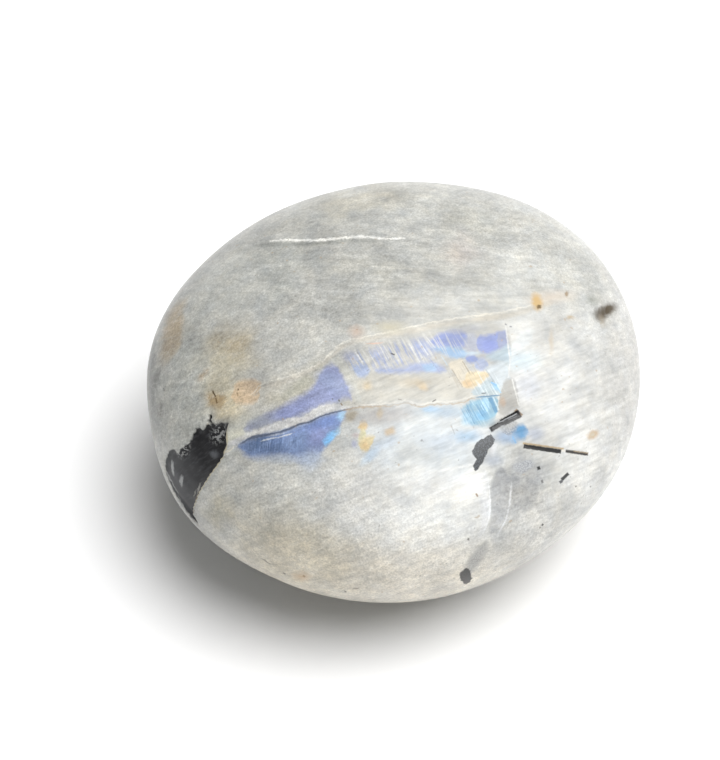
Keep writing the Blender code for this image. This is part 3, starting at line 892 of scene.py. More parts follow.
# %% Fields of sheen with edges of their own
lamellae = noise_at(drawn_out(show_face, -61, 2.6, 0.2), 1.0, 1.5, 0.6)
striations = noise_at(drawn_out(show_face, 84, 2.4, 0.15), 1.0, 1.0)
FIELDS = {  # colour, softness, strength, and points of across, lower and upper edge
    "cream_above_vein": ("#b3b0a7", 0.5, 0.85, (
        (-5.0, -1.2, -1.2), (-4.2, -1.3, 0.6), (-3.2, -1.2, 1.5), (0, -0.9, 1.8), (4, -1.0, 1.8),
        (6, -0.8, 1.6), (7.4, -0.6, 0.9), (8.4, -0.3, -0.3),
    )),
    "striped_ground": ("#aaa9a5", 0.6, 0.85, (
        (-5.6, 3.2, 3.2), (-4.4, 2.4, 4.2), (-3, 1.9, 4.9), (0, 1.7, 5.3), (3, 1.9, 5.7), (7, 2.4, 6.2),
        (10.9, 2.9, 6.1), (11.3, 4.4, 4.4),
    )),
    "lilac": ("#8990b2", 0.5, 0.97, (
        (-14.8, -3.7, -3.6), (-13.5, -3.4, -2.7), (-12.5, -3.1, -2.1), (-11.5, -2.75, -1.6),
        (-10.3, -2.7, -0.9), (-9.3, -2.3, -0.4), (-8.3, -1.8, 0.3), (-7.6, -1.5, 1.3),
        (-7.2, -1.3, 2.1), (-6.5, -1.1, 2.65), (-5.9, -1.0, 2.6), (-5.4, -0.8, 1.9), (-5.0, -0.6, 1.0),
        (-4.6, -0.6, 0.1), (-4.3, -0.7, -0.6),
    )),
    "milky_strip": ("#b3b3ad", 0.35, 0.85, (
        (-6.5, 3.2, 3.5), (-5.9, 2.7, 3.8), (-5.4, 2.1, 3.4), (-5.0, 1.3, 2.9), (-4.6, 0.3, 2.2),
        (-4.2, -0.6, 1.4), (-3.8, -1.1, 0.6), (-3.4, -1.2, -0.6),
    )),
    "deep_blue": ("#7485ab", 0.55, 0.97, (
        (-15.4, -5.4, -5.2), (-14.5, -6.3, -4.7), (-13.2, -6.4, -4.3), (-12, -6.2, -4.05),
        (-11, -6.15, -3.8), (-10, -6.45, -3.5), (-9.2, -6.8, -3.1), (-8.4, -6.8, -2.9),
        (-7.6, -6.3, -2.5), (-7.0, -5.5, -2.25), (-6.4, -4.8, -2.1), (-5.8, -3.9, -1.95),
        (-5.2, -2.8, -1.8), (-4.9, -2.1, -1.75),
    )),
    "cyan_spot": ("#74aedb", 0.22, 0.95, (
        (-7.15, -4.9, -4.7), (-6.9, -5.15, -4.35), (-6.5, -4.95, -4.0), (-6.15, -4.6, -3.8),
        (-5.85, -4.2, -3.85), (-5.7, -4.0, -4.0),
    )),
    "amber_upper": ("#c6ad80", 0.35, 0.9, (
        (-3.65, -3.5, -3.4), (-3.4, -3.8, -2.85), (-3.0, -3.7, -2.8), (-2.75, -3.3, -3.2),
    )),
    "amber_link": ("#c0bc98", 0.35, 0.85, (
        (-3.7, -4.6, -4.5), (-3.5, -4.7, -3.8), (-3.1, -4.6, -3.6), (-2.9, -4.2, -4.1),
    )),
    "amber_lower": ("#c9b991", 0.3, 0.95, (
        (-3.65, -5.0, -4.9), (-3.4, -5.6, -4.6), (-2.9, -5.75, -4.3), (-2.4, -5.1, -4.2),
        (-2.15, -4.5, -4.3),
    )),
    "light_blue_left": ("#929fbb", 0.3, 0.9, (
        (-4.3, 2.4, 2.5), (-3.9, 1.7, 2.6), (-3.4, 1.4, 2.75), (-2.9, 1.6, 2.6), (-2.6, 2.0, 2.1),
    )),
    "light_blue_level": ("#8d99bb", 0.3, 0.85, (
        (-2.0, 2.0, 2.1), (-1.4, 1.85, 2.35), (0.4, 1.85, 2.3), (2, 1.95, 2.8), (3.3, 2.0, 2.9),
        (4.3, 1.9, 2.6), (4.9, 2.1, 2.1),
    )),
    "lilac_strong_left": ("#7e8ab7", 0.3, 0.95, (
        (3.3, 4.9, 4.95), (3.8, 4.55, 5.45), (4.6, 4.35, 5.8), (5.6, 4.25, 6.0), (6.4, 4.3, 6.0),
        (6.9, 4.6, 5.6), (7.05, 5.1, 5.1),
    )),
    "cyan_under_lilac": ("#88a5c4", 0.3, 0.95, (
        (3.4, 4.2, 4.3), (4.2, 3.9, 4.45), (5.2, 3.4, 4.4), (6.2, 3.3, 4.3), (6.9, 3.6, 3.9),
    )),
    "lilac_between": ("#989dae", 0.5, 0.8, (
        (6.6, 4.9, 4.95), (7.0, 3.9, 5.6), (7.7, 3.8, 5.6), (8.1, 4.6, 4.7),
    )),
    "lilac_strong_right": ("#7c88b6", 0.28, 0.95, (
        (7.85, 4.7, 4.8), (8.1, 4.0, 5.4), (8.8, 3.75, 5.55), (9.6, 3.8, 5.75), (10.2, 4.25, 5.9),
        (10.8, 4.5, 5.9), (10.95, 5.1, 5.2),
    )),
    "grey_lilac_right": ("#8b90a4", 0.3, 0.8, (
        (9.9, 5.0, 5.1), (10.1, 4.2, 5.8), (10.8, 4.4, 5.85), (10.95, 5.1, 5.2),
    )),
    "blue_grey_right": ("#97a9b4", 0.4, 0.8, (
        (8.8, 3.4, 3.5), (9.3, 3.1, 3.8), (10.2, 2.9, 4.2), (11.0, 2.9, 4.6), (11.3, 3.6, 3.7),
    )),
    "lilac_small": ("#7585b4", 0.25, 0.95, (
        (6.75, 3.2, 3.3), (7.0, 2.95, 3.55), (7.5, 2.8, 3.55), (7.95, 3.0, 3.3), (8.05, 3.15, 3.2),
    )),
    "lilac_low_right": ("#8f9bb9", 0.35, 0.85, (
        (7.7, 2.6, 2.7), (8.0, 2.1, 3.2), (8.5, 2.0, 3.3), (8.9, 2.3, 3.0), (9.0, 2.6, 2.7),
    )),
    "white_lamella": ("#b4bcc1", 0.3, 0.85, (
        (8.6, 2.2, 2.2), (9.0, 1.4, 2.5), (9.6, 0.5, 2.7), (10.4, 0.0, 2.9), (10.9, 0.6, 2.2),
        (11.1, 1.3, 1.4),
    )),
    "amber_right_upper": ("#c4bcab", 0.2, 0.95, (
        (5.15, 2.6, 2.65), (5.4, 2.15, 3.0), (5.9, 1.4, 3.2), (6.3, 0.8, 3.25), (6.6, 0.6, 2.95),
        (7.0, 0.9, 2.3), (7.3, 1.6, 1.9),
    )),
    "amber_right": ("#c5b696", 0.22, 0.95, (
        (6.4, 0.75, 0.85), (6.7, 0.45, 1.3), (7.0, 0.4, 1.95), (7.6, 0.42, 2.0), (8.2, 0.75, 2.0),
        (8.8, 1.35, 2.0), (9.1, 1.7, 1.75),
    )),
    "cyan_white": ("#9dabb1", 0.3, 0.95, (
        (7.3, -0.1, 0.0), (7.7, -0.4, 0.4), (8.4, -0.42, 0.75), (9.0, -0.4, 1.3), (9.5, -0.38, 1.1),
        (10.0, -0.35, 0.5), (10.25, -0.1, 0.0),
    )),
    "sky": ("#779eb2", 0.3, 0.95, (
        (6.35, -1.8, -1.7), (6.8, -2.5, -1.2), (7.4, -3.15, -0.85), (8.1, -3.25, -0.65),
        (8.8, -3.0, -0.5), (9.4, -2.6, -0.45), (9.75, -2.1, -0.5), (9.95, -1.3, -1.2),
    )),
    "sky_pale_strip": ("#9cc0d6", 0.25, 0.85, (
        (8.25, -1.4, -1.3), (8.5, -2.0, -0.7), (8.8, -2.1, -0.6), (9.0, -1.6, -1.0),
        (9.1, -1.6, -1.5),
    )),
    "tan_wedge": ("#94928d", 0.3, 0.85, (
        (9.9, -1.9, -1.8), (10.2, -2.3, 0.2), (10.8, -2.2, 1.2), (11.3, -1.8, 1.3), (11.8, -1.6, 0.4),
        (12.0, -1.5, -1.3),
    )),
    "deep_sky": ("#3f7da8", 0.35, 0.95, (
        (11.2, -4.1, -3.9), (11.6, -4.5, -3.5), (12.1, -4.6, -3.2), (12.6, -4.5, -3.4),
        (12.9, -4.0, -3.9),
    )),
    "glass_right": ("#c4c7c7", 0.3, 0.6, (
        (11.1, 4.0, 4.1), (11.6, 3.9, 5.0), (12.4, 4.2, 5.9), (13.2, 5.0, 6.3), (13.7, 5.9, 6.0),
    )),
}
for tone, soft, strength, points in FIELDS.values():
    colour = paint(colour, field(ragged_sides, points, 1.5 * soft, strength), tone)
print("fields of sheen:", len(FIELDS))

# %% Soft patches over the fields
sheen = add_node(tree, "ShaderNodeAttribute", out="Color", attribute_name="sheen")
colour = paint(colour, sheen.node.outputs["Alpha"], sheen)

# %% Lamellae and striations over the sheen
DRAWN = {  # noise, its low and high ends, colour, strength, and the oval where it shows
    "blue_stripes": (lamellae, 0.50, 0.58, "#8a94b4", 0.8, ((0.4, 3.7), (3.4, 1.1), 12)),
    "white_stripes": (lamellae, 0.46, 0.38, "#bdbdb9", 0.6, ((0.9, 4.0), (6.0, 1.5), 10)),
    "blue_stripes_left": (lamellae, 0.52, 0.6, "#949fb9", 0.8, ((-3.4, 3.1), (1.4, 0.9), 10)),
    "amber_lines": (lamellae, 0.42, 0.36, "#9a9284", 0.5, ((7.0, 1.6), (2.0, 1.4), 0)),
    "white_lines_right": (lamellae, 0.56, 0.64, "#c9d2d4", 0.6, ((9.0, 0.8), (1.4, 1.6), 0)),
    "sky_lines_dark": (lamellae, 0.46, 0.38, "#5285a6", 0.85, ((7.7, -1.9), (1.3, 1.2), 0)),
    "sky_lines_light": (lamellae, 0.56, 0.64, "#abc6d4", 0.6, ((8.0, -2.0), (1.6, 1.2), 0)),
    "deep_light_lines": (striations, 0.55, 0.68, "#8fa1c6", 0.6, ((-12.0, -5.3), (2.4, 0.7), 4)),
    "deep_dark_lines": (striations, 0.44, 0.34, "#4c5f80", 0.6, ((-12.0, -5.0), (2.6, 0.9), 6)),
}
for pattern, low_end, high_end, tone, strength, (middle, half, turn) in DRAWN.values():
    inside_oval = patch(plain, middle, half, turn, 0.35, strength)
    colour = paint(colour, masked(shaped(pattern, low_end, high_end), inside_oval), tone)
print("drawn-out patterns:", len(DRAWN))

# %% Single lamellae that stand out
SINGLE_LAMELLAE = {  # start and end in mm, width, colour
    "white_a": ((-4.0, 3.9), (-3.3, 2.9), 0.12, "#c8c8c8"),
    "dark_a": ((-3.85, 3.95), (-3.3, 3.1), 0.06, "#777b8a"),
    "grey_a": ((-2.7, 4.4), (-1.9, 2.9), 0.1, "#979ba8"),
    "grey_b": ((-2.0, 4.5), (-1.2, 2.9), 0.09, "#9a9eaa"),
    "white_b": ((1.2, 4.8), (2.3, 2.9), 0.1, "#c6c6c2"),
    "white_c": ((2.1, 5.1), (3.1, 3.6), 0.1, "#c6c6c2"),
    "white_d": ((2.9, 5.4), (3.8, 4.3), 0.09, "#c2c3c2"),
    "blue_a": ((3.2, 3.3), (4.2, 2.0), 0.09, "#8690b0"),
    "blue_b": ((4.4, 3.5), (5.0, 2.6), 0.08, "#a9bccb"),
    "brown_a": ((5.4, 2.2), (6.45, 0.5), 0.08, "#8f887c"),
    "brown_b": ((6.45, 3.0), (7.15, 1.8), 0.08, "#8c8474"),
    "grey_c": ((8.75, 2.15), (9.6, 0.9), 0.1, "#90989c"),
    "blue_c": ((9.2, 0.95), (9.8, 0.6), 0.14, "#6fa3cb"),
    "blue_d": ((9.7, 0.65), (10.2, -0.1), 0.12, "#7aa8c9"),
    "blue_e": ((6.85, -1.5), (7.6, -3.1), 0.1, "#47799b"),
    "blue_f": ((7.15, -1.2), (7.9, -2.7), 0.09, "#5788a9"),
    "blue_g": ((7.75, -1.2), (8.4, -2.4), 0.1, "#4d80a4"),
    "blue_h": ((9.1, -0.55), (9.75, -2.0), 0.36, "#3f7aa0"),
    "white_e": ((9.45, -0.55), (9.98, -1.75), 0.1, "#c0d2db"),
    "blue_i": ((11.3, -4.3), (11.65, -5.0), 0.12, "#6b9ac4"),
    "pale_edge": ((10.75, 6.5), (11.15, 3.0), 0.14, "#c3c3c1"),
    "pale_edge_low": ((11.15, 3.0), (10.95, 1.4), 0.1, "#c6c7c6"),
    "pale_wedge_side": ((11.3, 1.3), (12.0, -1.4), 0.12, "#c8c8c5"),
    "scratch": ((5.3, -3.2), (5.65, -4.1), 0.08, "#8e9194"),
}
for start, end, width, tone in SINGLE_LAMELLAE.values():
    colour = paint(colour, bar(crisp, start, end, width, 0.1, 0.85), tone)
print("single lamellae:", len(SINGLE_LAMELLAE))

# %% [markdown]
# ## Cracks and veins
# Old cracks in the crystal have healed as white lines, and the widest of them runs across the whole
# face from the pocket. Its upper lip is a milky ledge and its lower edge is dark.

# %% The ledge along the widest vein
LEDGE = (  # across, lower edge and upper edge
    (-17.2, -5.3, -5.3), (-16, -5.2, -4.75), (-15, -4.75, -4.25), (-14, -4.3, -3.85),
    (-13, -4.0, -3.5), (-12, -3.85, -3.1), (-11, -3.6, -2.75), (-10.2, -3.3, -2.5), (-9.4, -3.05, -2.5),
    (-8.9, -2.95, -2.35), (-8.4, -2.75, -1.95), (-7.6, -2.4, -1.45), (-6.8, -2.1, -1.3),
    (-6, -1.85, -1.2), (-5.3, -1.7, -1.25), (-4.6, -1.6, -1.4), (-4, -1.5, -1.5),
)
colour = paint(colour, field(ragged_sides, LEDGE, 0.2, 0.95), "#bcbcbb")
ledge_flesh = masked(field(ragged_sides, LEDGE, 0.3), shaped(noise_at(show_face, 1.3, 2.0), 0.5, 0.62, 0.55))
colour = paint(colour, ledge_flesh, "#b3b0b2")
print("points along the ledge:", len(LEDGE))

# %% Lines through the stone
LINES = {  # colour, softness, strength, steep or not, and points of place and width in mm
    "vein_shadow": ("#525a6c", 0.12, 0.92, False, (
        (-16.2, -5.5, -0.3), (-15.0, -4.95, 0.12), (-14.2, -4.5, 0.28), (-12.5, -4.15, 0.22),
        (-11.5, -3.95, 0.16), (-10.2, -3.5, 0.26), (-9.3, -3.1, 0.18), (-8.5, -2.95, 0.2),
        (-7.6, -2.5, 0.16), (-6.4, -2.08, 0.16), (-5.4, -1.85, 0.14), (-4.8, -1.7, 0.1),
        (-4.2, -1.6, -0.1),
    )),
    "pale_under_vein": ("#a9adb6", 0.1, 0.7, False, (
        (-12.9, -4.35, -0.1), (-12.4, -4.3, 0.06), (-11, -4.02, 0.08), (-10.4, -3.85, -0.1),
    )),
    "second_white_line": ("#c3c7cd", 0.1, 0.9, False, (
        (-13.4, -4.85, -0.1), (-13, -4.72, 0.08), (-12, -4.5, 0.12), (-11.4, -4.42, 0.06),
        (-11, -4.3, 0.12), (-10.3, -4.1, 0.12), (-9.9, -4.0, -0.1),
    )),
    "vein_right_brown": ("#9d8b74", 0.14, 0.8, False, (
        (-5.4, -1.75, -0.1), (-4.8, -1.75, 0.12), (-4, -1.55, 0.12), (-2, -1.45, 0.12),
        (0, -1.25, 0.06), (1, -1.08, 0.08), (2.2, -1.42, 0.12), (3.5, -1.22, 0.1),
        (5, -1.18, 0.08), (6.5, -0.98, 0.1), (7.6, -0.62, 0.0),
    )),
    "vein_right_white": ("#c6c3bb", 0.14, 0.8, False, (
        (-4.9, -1.5, -0.1), (-4, -1.32, 0.12), (-2, -1.22, 0.12), (0, -1.0, 0.12),
        (1, -0.85, 0.12), (2.2, -1.2, 0.16), (3.5, -1.0, 0.14), (5, -0.95, 0.12),
        (6.5, -0.75, 0.12), (7.6, -0.4, 0.1), (8.5, -0.3, -0.1),
    )),
    "sky_line": ("#43708f", 0.08, 0.9, False, (
        (7.6, -0.55, -0.1), (7.95, -0.5, 0.1), (9, -0.42, 0.12), (10, -0.34, 0.08), (10.4, -0.3, -0.1),
    )),
    "cream_below_upper_line": ("#b4afa5", 0.35, 0.75, False, (
        (-14, -0.3, 0.0), (-13, 0.4, 0.3), (-11, 1.0, 0.4), (-9, 1.85, 0.35), (-7.5, 2.7, 0.4),
        (-6.3, 3.5, 0.5), (-5, 4.55, 0.5), (-3, 5.1, 0.45), (-1, 5.5, 0.5), (1.5, 6.0, 0.6),
        (4.5, 6.6, 0.5), (7, 7.0, 0.5), (10, 7.4, 0.6), (13, 8.1, 0.6), (15.5, 8.8, 0.2),
    )),
    "upper_line": ("#cac7be", 0.14, 0.85, False, (
        (-14.5, -0.4, -0.1), (-13.2, 0.7, 0.1), (-11, 1.35, 0.14), (-9, 2.1, 0.14),
        (-7.5, 2.8, 0.12), (-6.3, 3.9, 0.24), (-5, 4.9, 0.14), (-3, 5.4, 0.14), (-1, 5.8, 0.12),
        (1.5, 6.4, 0.12), (4.5, 7.0, 0.16), (7, 7.4, 0.16), (10, 7.8, 0.14), (13, 8.5, 0.1),
        (15.5, 9.2, -0.1),
    )),
    "upper_line_pink": ("#c7a695", 0.1, 0.75, False, (
        (-3.2, 4.7, -0.1), (-2.6, 4.72, 0.1), (-1.6, 4.78, 0.1), (-1.0, 4.9, -0.1),
    )),
    "arch_left": ("#bab7ac", 0.2, 0.6, False, (
        (-18.2, 3.4, -0.1), (-17.4, 4.6, 0.15), (-16.0, 5.9, 0.12), (-14.5, 6.4, -0.1),
    )),
    "level_line": ("#ecebe6", 0.16, 0.85, False, (
        (-13, 15.2, -0.1), (-12, 15.25, 0.16), (-8, 15.2, 0.26), (-5, 15.45, 0.22), (-3, 15.5, 0.24),
        (-1, 15.3, 0.14), (1, 15.35, -0.05),
    )),
    "level_line_shade": ("#8c8e8a", 0.35, 0.75, False, (
        (-14.5, 14.7, -0.2), (-12.5, 14.8, 0.55), (-8, 14.85, 0.35), (-4, 15.1, 0.2), (-2, 15.05, -0.1),
    )),
    "thin_level_line": ("#bdbbb3", 0.14, 0.6, False, (
        (-3.5, 12.5, -0.1), (-1, 12.35, 0.08), (1, 12.2, 0.08), (3, 12.3, -0.1),
    )),
    "belly_edge": ("#dadad8", 0.25, 0.75, False, (
        (2.5, -7.8, -0.1), (5, -7.5, 0.2), (7, -7.15, 0.2), (8, -7.05, -0.1),
    )),
    "pale_arc": ("#cacac8", 0.4, 0.7, False, (
        (14.5, -4.0, -0.2), (16, -3.5, 0.25), (20, -2.4, 0.35), (23, -1.1, 0.2),
    )),
    "shade_under_arc": ("#b0b0ae", 0.7, 0.5, False, (
        (14.8, -4.6, -0.2), (16.5, -4.2, 0.4), (20, -3.1, 0.5), (23, -1.9, 0.3),
    )),
    "grey_band": ("#a1a2a3", 0.35, 0.85, True, (
        (-14, 9.2, -0.1), (-13.2, 9.6, 0.9), (-12, 9.9, 1.4), (-10.5, 10.0, 1.8), (-9, 10.1, 1.9),
        (-7.8, 10.2, 1.0), (-7.2, 10.2, -0.2),
    )),
    "band_left_white": ("#d0d1d2", 0.4, 0.85, True, (
        (-14.2, 8.0, -0.1), (-13.2, 8.4, 0.5), (-12, 8.6, 0.8), (-10, 8.5, 0.9), (-8.2, 8.6, 0.5),
        (-7.4, 8.6, -0.1),
    )),
    "band_left_line": ("#dcddde", 0.12, 0.85, True, (
        (-14.2, 8.2, -0.1), (-13.4, 8.6, 0.1), (-12, 9.05, 0.14), (-10, 9.05, 0.14), (-8.4, 8.95, -0.1),
    )),
    "band_right_edge": ("#c7c8ca", 0.12, 0.9, True, (
        (-14, 9.6, -0.1), (-13.7, 10.0, 0.14), (-13, 10.4, 0.14), (-12, 10.8, 0.12), (-11, 11.0, 0.18),
        (-9.5, 11.15, 0.14), (-8.5, 11.25, -0.1),
    )),
    "bottom_white_line": ("#d4d1c8", 0.18, 0.6, False, (
        (2.5, -19.8, -0.1), (4, -19.1, 0.12), (6, -18.6, 0.14), (7, -18.3, -0.1),
    )),
    "bottom_crack": ("#5f5e5a", 0.12, 0.8, False, (
        (-13.4, -16.3, -0.1), (-13.0, -16.5, 0.14), (-12.5, -16.85, 0.1), (-12.2, -17.0, -0.1),
    )),
    "pocket_side_shade": ("#979892", 0.5, 0.6, False, (
        (-18.8, -9.4, -0.2), (-17.6, -7.8, 0.3), (-16.5, -6.4, 0.5), (-15.4, -5.9, 0.4),
        (-14.6, -5.9, -0.2),
    )),
    "pocket_side_line": ("#c9c3b3", 0.14, 0.8, False, (
        (-19.6, -9.9, -0.1), (-18.6, -8.6, 0.12), (-17.6, -7.1, 0.16), (-16.9, -6.1, 0.2),
        (-16.0, -5.5, 0.12), (-15.4, -5.2, -0.1),
    )),
}
for tone, soft, strength, steep, points in LINES.values():
    sides = ragged_sides if soft > 0.12 else crisp_sides
    colour = paint(colour, trace(sides, points, soft, strength, steep), tone)
print("lines:", len(LINES))

# %% [markdown]
# ## The hidden side
# No picture shows the side away from the view, so it gets the same milky ground, with a few clouds, a
# healed crack, a tan stain and two more needles. Its places are also given in mm, as seen from behind:
# across to the right, then up from the ground.

# %% Far side
far_face = add_node(
    tree,
    "ShaderNodeMapping",
    {"Vector": on_object, "Rotation": (-math.pi / 2, 0, 0), "Scale": (-1 / MM, 1 / MM, 1 / MM)},
)
far_ragged = warped(far_face, (0.4, 2.0), (2.2, 0.4))
far_sides = sides_of(far_ragged)
far = ground
FAR_LINES = {
    "far_crack": ("#c6c4bd", 0.16, 0.85, (
        (-22, 13, -0.1), (-19, 14.2, 0.16), (-12, 15.0, 0.2), (-5, 14.4, 0.14), (3, 15.6, 0.2),
        (10, 18.0, 0.16), (16, 20.6, 0.12), (19, 21.6, -0.1),
    )),
    "far_crack_shade": ("#97989a", 0.5, 0.6, (
        (-20, 13.4, -0.2), (-12, 14.5, 0.4), (-5, 13.9, 0.5), (3, 15.1, 0.4), (12, 18.3, -0.2),
    )),
    "far_thin_crack": ("#c0beb7", 0.12, 0.7, (
        (-2, 6.0, -0.1), (3, 7.6, 0.1), (9, 8.0, 0.12), (15, 10.2, -0.1),
    )),
    "far_needle": ("#1a1a1b", 0.12, 0.95, (
        (-9.6, 10.2, -0.2), (-9.4, 10.15, 0.5), (-5.2, 9.0, 0.4), (-5.0, 8.95, -0.2),
    )),
    "far_short_needle": ("#242425", 0.12, 0.95, (
        (4.0, 20.3, -0.2), (4.15, 20.35, 0.55), (6.0, 21.2, 0.5), (6.15, 21.25, -0.2),
    )),
    "far_knot": ("#5a5a5b", 0.2, 0.9, (
        (11.3, 5.6, -0.2), (11.6, 5.6, 0.7), (12.4, 5.9, 1.1), (13.1, 5.8, 0.7), (13.4, 5.7, -0.2),
    )),
}
for tone, soft, strength, points in FAR_LINES.values():
    far = paint(far, trace(far_sides, points, soft, strength), tone)
colour = paint(far, shaped(above_limb, -2.5, 0.3), colour)
print("lines on the hidden side:", len(FAR_LINES))

# %% [markdown]
# ## Mottling
# Noise of several sizes breaks up all the paint: clouds of a few mm that drift warmer and cooler,
# mottling of about half a mm, and the grain of the feldspar, stronger at the left and towards the
# foot. Level streaks run through the upper part, rising ones follow the vein, and thin white veils
# hang in the milk.

# %% Clouds, streaks, veils and grain
def swinging(pattern, reach):
    """A noise as light and dark greys that swing round 1 by that share, to multiply paint with."""
    dark, light = (1 - reach,) * 3 + (1,), (1 + reach,) * 3 + (1,)
    return paint(dark, shaped(pattern, 0.25, 0.75), light)


def multiplied(below, other):
    """Multiplies one colour with another."""
    return paint(below, 1.0, other, blend_type="MULTIPLY")


upper_part = patch(plain, (0, 12), (22, 7), 0, 0.4)
level_streaks = noise_at(drawn_out(show_face, -3, 2.6, 0.45), 1.0, 4.0, 0.6)
rising_streaks = noise_at(drawn_out(show_face, 22, 2.2, 0.4), 1.0, 4.0, 0.6)
streaks = add_node(tree, "ShaderNodeMix", {0: upper_part, 2: rising_streaks, 3: level_streaks})
colour = multiplied(colour, swinging(streaks, 0.18))
colour = multiplied(colour, swinging(noise_at(show_face, 0.28, 5.0, 0.6), 0.26))
calm = patch(plain, (9, -1), (13, 12), 0, 0.35, 0.95)
mottling = noise_at(show_face, 1.5, 3.0, 0.6)
even_mottling = add_node(tree, "ShaderNodeMix", {0: calm, 2: mottling, 3: 0.5})
colour = multiplied(colour, swinging(even_mottling, 0.13))
grain = noise_at(show_face, 5.0, 2.0, 0.7)
even_grain = add_node(tree, "ShaderNodeMix", {0: calm, 2: grain, 3: 0.5})
colour = multiplied(colour, swinging(even_grain, 0.27))
crazed_left = patch(plain, (-21, 1), (5, 9), 0, 0.4, 0.8)
crazed_right = patch(plain, (12.5, -11), (3.5, 5.5), 20, 0.4)
crazed_parts = calculated("MAXIMUM", crazed_left, crazed_right)
crazing = noise_at(show_face, 2.4, 5.0, 0.75)
crazing = add_node(tree, "ShaderNodeMix", {0: crazed_parts, 2: 0.5, 3: crazing})
colour = multiplied(colour, swinging(crazing, 0.3))
warmth = shaped(noise_at(show_face, 0.55, 3.0, 0.6), 0.3, 0.7)
colour = multiplied(colour, paint(linear("#fbfdff"), warmth, "#fffdf8"))
print("nodes so far:", len(tree.nodes))

# %% Scattered specks
dark_specks = shaped(noise_at(show_face, 2.6, 1.0), 0.27, 0.2, 0.5)
colour = paint(colour, dark_specks, "#777570")
tan_specks = shaped(noise_at(show_face, 1.7, 1.0), 0.255, 0.2, 0.5)
colour = paint(colour, tan_specks, "#a38d70")

# %% [markdown]
# ## Black tourmaline
# Tourmaline grew in the feldspar as black needles and knots. In the polish they are cut through and
# lie level, with a glossy black face. A thin white line along the widest needle is a painted highlight,
# and the long one has a tan edge along its upper side that is partly painted shade from its groove.

# %% Needles, knots and crystals
BLACK = "#101011"
RODS = {  # start, end and width in mm, and colour
    "short_needle_rim": ((11.6, -1.75), (12.25, -2.35), 0.35, "#7d6a55"),
    "short_needle": ((9.15, -3.7), (12.0, -1.95), 0.5, BLACK),
    "short_needle_right": ((10.2, -3.05), (12.05, -2.1), 0.75, BLACK),
    # painted highlight: a thin light line along the widest needle, and a dimmer one below it
    "needle_highlight": ((9.95, -3.0), (11.75, -2.12), 0.07, "#a9abad"),
    "needle_highlight_low": ((10.9, -2.72), (11.75, -2.35), 0.05, "#6d6f72"),
    # partly painted shade: the tan edge along the long needle's upper side, darkened as the groove's upper
    # wall
    "long_needle_tan_edge_and_shade": ((12.35, -5.0), (16.4, -5.58), 0.18, "#ab987a"),
    "long_needle_near": ((12.4, -5.28), (16.15, -5.85), 0.42, BLACK),
    "needle_gap": ((16.2, -5.75), (16.55, -5.75), 0.2, "#cfcbc2"),
    "long_needle_far": ((16.6, -5.8), (18.9, -6.15), 0.3, "#272320"),
    # partly painted shade: the same shaded tan edge along the far part of the long needle
    "far_end_tan_edge_and_shade": ((17.4, -5.8), (18.9, -6.02), 0.1, "#a08f76"),
    "dash": ((12.8, -7.0), (13.2, -6.9), 0.18, "#1b1b1c"),
    "dot": ((13.75, -7.5), (14.05, -7.4), 0.32, "#262627"),
    "slanted_crystal": ((16.2, -8.6), (16.9, -8.0), 0.32, "#161617"),
    "slanted_crystal_low": ((16.0, -8.9), (16.3, -8.7), 0.28, "#4b4c50"),
    "small_low": ((14.2, -8.6), (14.3, -8.9), 0.22, "#6b6b6a"),
    "tick": ((14.3, -13.15), (14.42, -12.95), 0.18, "#262626"),
    "tick_beside": ((14.05, -13.4), (14.15, -13.25), 0.14, "#7c776e"),
    "speck_right_a": ((17.6, -9.3), (17.75, -9.25), 0.16, "#6b6963"),
    "speck_right_b": ((19.15, -9.4), (19.25, -9.35), 0.14, "#605f5b"),
    "speck_sheen_a": ((-0.5, 3.75), (-0.15, 3.6), 0.12, "#2d2c2b"),
    "speck_sheen_b": ((0.2, -0.68), (0.5, -0.75), 0.06, "#6b655c"),
    "speck_sheen_c": ((3.5, -0.95), (3.85, -0.75), 0.1, "#3b3632"),
    "speck_sheen_d": ((8.3, -0.15), (8.7, -0.12), 0.1, "#4a4f55"),
    "speck_upper": ((10.7, 6.7), (10.85, 6.6), 0.14, "#7b7c7d"),
    "speck_upper_b": ((11.15, 6.45), (11.35, 6.4), 0.12, "#808182"),
    "speck_pink": ((-3.95, 6.12), (-3.75, 6.1), 0.12, "#7e6c60"),
    "fleck_tan_a": ((-15.52, 0.3), (-15.48, 0.15), 0.14, "#4a3a28"),
    "fleck_tan_b": ((-15.55, -0.1), (-15.5, -0.4), 0.07, "#7d6746"),
    "fleck_rust_a": ((-18.05, 0.1), (-17.75, -0.5), 0.14, "#46351f"),
    "fleck_rust_b": ((-17.75, -0.6), (-17.6, -1.1), 0.12, "#5d482a"),
    "vein_speck_a": ((-6.25, -0.65), (-6.15, -0.72), 0.12, "#5c5f58"),
    "vein_speck_b": ((-5.6, -0.75), (-5.5, -0.9), 0.12, "#57563f"),
    "vein_speck_c": ((-5.4, -1.1), (-5.2, -1.3), 0.12, "#74634a"),
    "belly_speck": ((7.75, -9.85), (7.9, -10.15), 0.16, "#8d7762"),
    "low_speck": ((6.9, -14.3), (7.1, -14.35), 0.22, "#6e6b66"),
    "foot_speck_a": ((-11.15, -17.8), (-10.9, -17.9), 0.14, "#5d594f"),
    "foot_speck_b": ((-9.15, -18.0), (-8.95, -18.15), 0.18, "#4c443a"),
    "foot_speck_c": ((-5.1, -19.6), (-4.9, -19.65), 0.14, "#64605a"),
    "foot_speck_d": ((-4.3, -19.3), (-3.7, -19.25), 0.1, "#7d776c"),
    "left_speck": ((-23.2, 0.4), (-23.1, 0.1), 0.14, "#6f706c"),
}
for start, end, width, tone in RODS.values():
    colour = paint(colour, bar(crisp, start, end, width, 0.1, 0.95), tone)
print("rods and flecks:", len(RODS))

